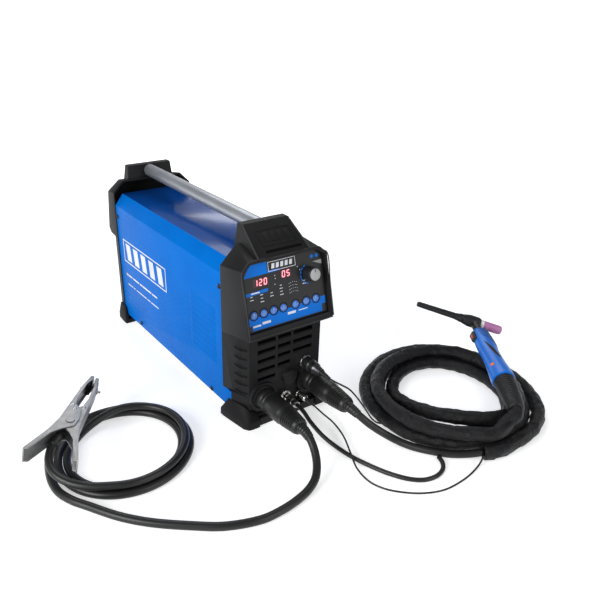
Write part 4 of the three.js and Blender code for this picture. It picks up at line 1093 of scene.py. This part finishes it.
shell = []
for i in range(81):
    inset = -0.8 if i in (0, 80) else 0
    shell.append([on_handle(36 + 154 * i / 80, 360 * k / 56, inset) for k in range(56)])
stand("torch_handle", loft("torch_handle_shell", shell, "torch_blue", body_of("torch_handle")))
torch_extras = [leaf("torch_inlay", (88, 141), (143, 190), (6, 20), 0.4, "torch_black")]
dots = Maker()
for i in range(14):
    for k in range(16):
        reach, degrees = 41 + 4.2 * i, 128 + 8 * k + (4 if i % 2 else 0)
        if reach < min(98, 68 + 0.55 * (degrees - 150)) and 135 + 0.3 * (reach - 41) < degrees < 252:
            p, q = on_handle(reach, degrees, -0.1), on_handle(reach, degrees, 0.9)
            dots.lathe([(0, 0), (1.15, 0), (1.0, 0.45), (0.45, 0.65), (0, 0.7)], p, (q - p).normalized(), 6)
torch_extras.append(dots.done("torch_grip_dots", "grip_blue", body=body_of("torch_handle"), slot="torch_blue"))
spot = Maker()
p, q = on_handle(158, 120, -0.4), on_handle(158, 120, 1)
spot.lathe([(0, 0), (3.4, 0), (3.4, 0.8), (2.8, 1.15), (0, 1.25)], p, (q - p).normalized(), 20)
torch_extras.append(spot.done("torch_spot", "spot_orange", body=body_of("torch_handle"), slot="print_orange"))
stand_in["torch_trigger"] = refined("torch_trigger", 1.1, segments=3)
TRIGGER_TOP = 22.5
mark = Maker(torch_at)
mark.prism([(55, -2.4), (65, -2.4), (65, 2.4), (55, 2.4)], TRIGGER_TOP - 0.3, TRIGGER_TOP + 0.25)
torch_extras.append(mark.done("torch_trigger_mark", "button_red", body=body_of("torch_trigger"), bevel=0.1))
stand_in["torch_head"] = refined("torch_head", 1.0, segments=3)


def turned_torch(node, foot, axis, profile, material, ripple=None, sides=36):
    maker = Maker()
    maker.lathe(profile, HEAD + axis * foot, axis, sides, ripple)
    stand(node, maker.done(f"{node}_shape", material, body=body_of(node), sharp=50))


def cap_flutes(row, a):
    return -0.45 * max(0.0, cos(12 * a)) if row in (2, 3, 4) else 0.0


turned_torch("torch_back_cap", 24.3, TO_CAP,
             [(0, 0), (8.2, 0), (8.5, 0.4), (8.5, 2.5), (8.5, 6), (7.6, 7.5), (6.6, 15), (6.3, 16), (5.2, 91.5),
              (4.7, 94), (3.4, 95), (0, 95)], "torch_black", ripple=cap_flutes)
turned_torch("torch_collar", 11.3, -TO_CAP, [(0, 0), (9.2, 0), (9.5, 0.3), (9.5, 6.4), (9, 7), (0, 7)],
             "collar_white")
turned_torch("torch_cup", 18.6, -TO_CAP,
             [(0, 0), (8.6, 0), (9, 0.4), (9, 9), (8.7, 10), (8.9, 11), (9, 32.5), (8.7, 34), (8.1, 36.4),
              (7.6, 37), (6.5, 37), (6, 36.5), (6, 8), (0, 8)], "cup_pink")
rod = Maker()
rod.lathe([(0, 0), (1.2, 0), (1.2, 29), (0.15, 33.5), (0, 33.5)], HEAD - TO_CAP * 26, -TO_CAP, 12)
torch_extras.append(rod.done("torch_electrode", "fitting_steel"))
BOOT_START = HEAD + ALONG * 190.3
boot_path = smooth_path([tuple(BOOT_START)] + BOOT_ROUTE, 0.7)
BOOT_LENGTH = route_length(boot_path)


def boot_ribs(i, angle, distance):
    share = distance / BOOT_LENGTH
    wave = 0.5 - 0.5 * cos(2 * pi * distance / (5.2 * MM))
    return ((14 - 18.5) * share - 1.1 * (1 - wave ** 0.6) + 0.2) * MM


stand("torch_boot", tube("torch_boot_ribbed", boot_path, 18.5 * MM, "torch_black", sides=36, swell=boot_ribs))


# ---------------------------------------------------------------- floor, light
# A flat floor that sweeps up far behind and around the machine.
RINGS = [(0.0, 0.0), (7.0, 0.0), (8.5, 0.1), (10.0, 0.35), (11.5, 0.8), (13.0, 1.4)]
AROUND = 72
sweep = [Vector((0, 0, 0))]
for far, high in RINGS[1:]:
    sweep += [Vector((far * cos(2 * pi * k / AROUND), far * sin(2 * pi * k / AROUND), high))
              for k in range(AROUND)]
sweep_faces = [(0, 1 + k, 1 + (k + 1) % AROUND) for k in range(AROUND)]
for ring_index in range(len(RINGS) - 2):
    base = 1 + ring_index * AROUND
    sweep_faces += [(base + k, base + AROUND + k, base + AROUND + (k + 1) % AROUND, base + (k + 1) % AROUND)
                    for k in range(AROUND)]
floor = in_scene("studio_floor", new_mesh("studio_floor", sweep, sweep_faces))
surface("studio_paper", (0.8, 0.8, 0.8), (0.84, 0.84, 0.84), (0.7, 0.8), grain=300.0, bump=0.02,
        Specular_IOR_Level=0.0)
# The paper is lit from behind, evenly near the machine and more strongly further out.
paper = LOOKS["studio_paper"].node_tree
out_from = paper.nodes.new("ShaderNodeVectorMath")
out_from.operation = "LENGTH"
link(paper, *own_metres(paper), out_from, 0)
fade = put(paper.nodes.new("ShaderNodeMapRange"), From_Min=0.7, From_Max=1.8, To_Min=0.5, To_Max=1.0)
link(paper, out_from, "Value", fade, "Value")
link(paper, fade, "Result", paper.nodes["Principled BSDF"], "Emission Strength")
put(paper.nodes["Principled BSDF"], Emission_Color=(1, 1, 1, 1))
look(floor, "studio_paper")

# A bright card behind the machine, seen mirrored in the top of its cover.
MIRRORED = Vector((CAMERA["place"].x, CAMERA["place"].y, 0.57 - CAMERA["place"].z))
card_corners = [MIRRORED + (mm(*corner) - MIRRORED) * 4 for corner in
                ((-38, -200, 285), (90, -200, 285), (90, 75, 285), (-38, 75, 285))]
card = in_scene("studio_card", new_mesh("studio_card", card_corners, [(0, 1, 2, 3)]))
glowing("card_glow", (1.0, 1.0, 1.0), 3.0)
look(card, "card_glow")


def soft_box(name, place, target, size, power):
    data = bpy.data.lights.new(name, "AREA")
    data.shape = "RECTANGLE"
    data.size, data.size_y = size
    data.energy = power
    lamp = bpy.data.objects.new(name, data)
    lamp.location = place
    lamp.rotation_euler = (Vector(target) - Vector(place)).to_track_quat("-Z", "Y").to_euler()
    to_scene(lamp)


soft_box("key_box", (-3.0, -0.8, 1.5), (0, -0.1, 0.1), (1.6, 1.6), 95)
soft_box("front_box", (0.9, -3.0, 1.7), (0, -0.2, 0.1), (1.6, 1.2), 30)
soft_box("top_box", (0.9, 1.5, 2.4), (0, 0, 0.2), (2.2, 1.4), 30)
world = bpy.data.worlds.new("studio")
world.use_nodes = True
put(world.node_tree.nodes["Background"], Color=(0.93, 0.96, 1.0, 1), Strength=0.3)
bpy.context.scene.world = world
bpy.context.scene.view_settings.view_transform = "Standard"
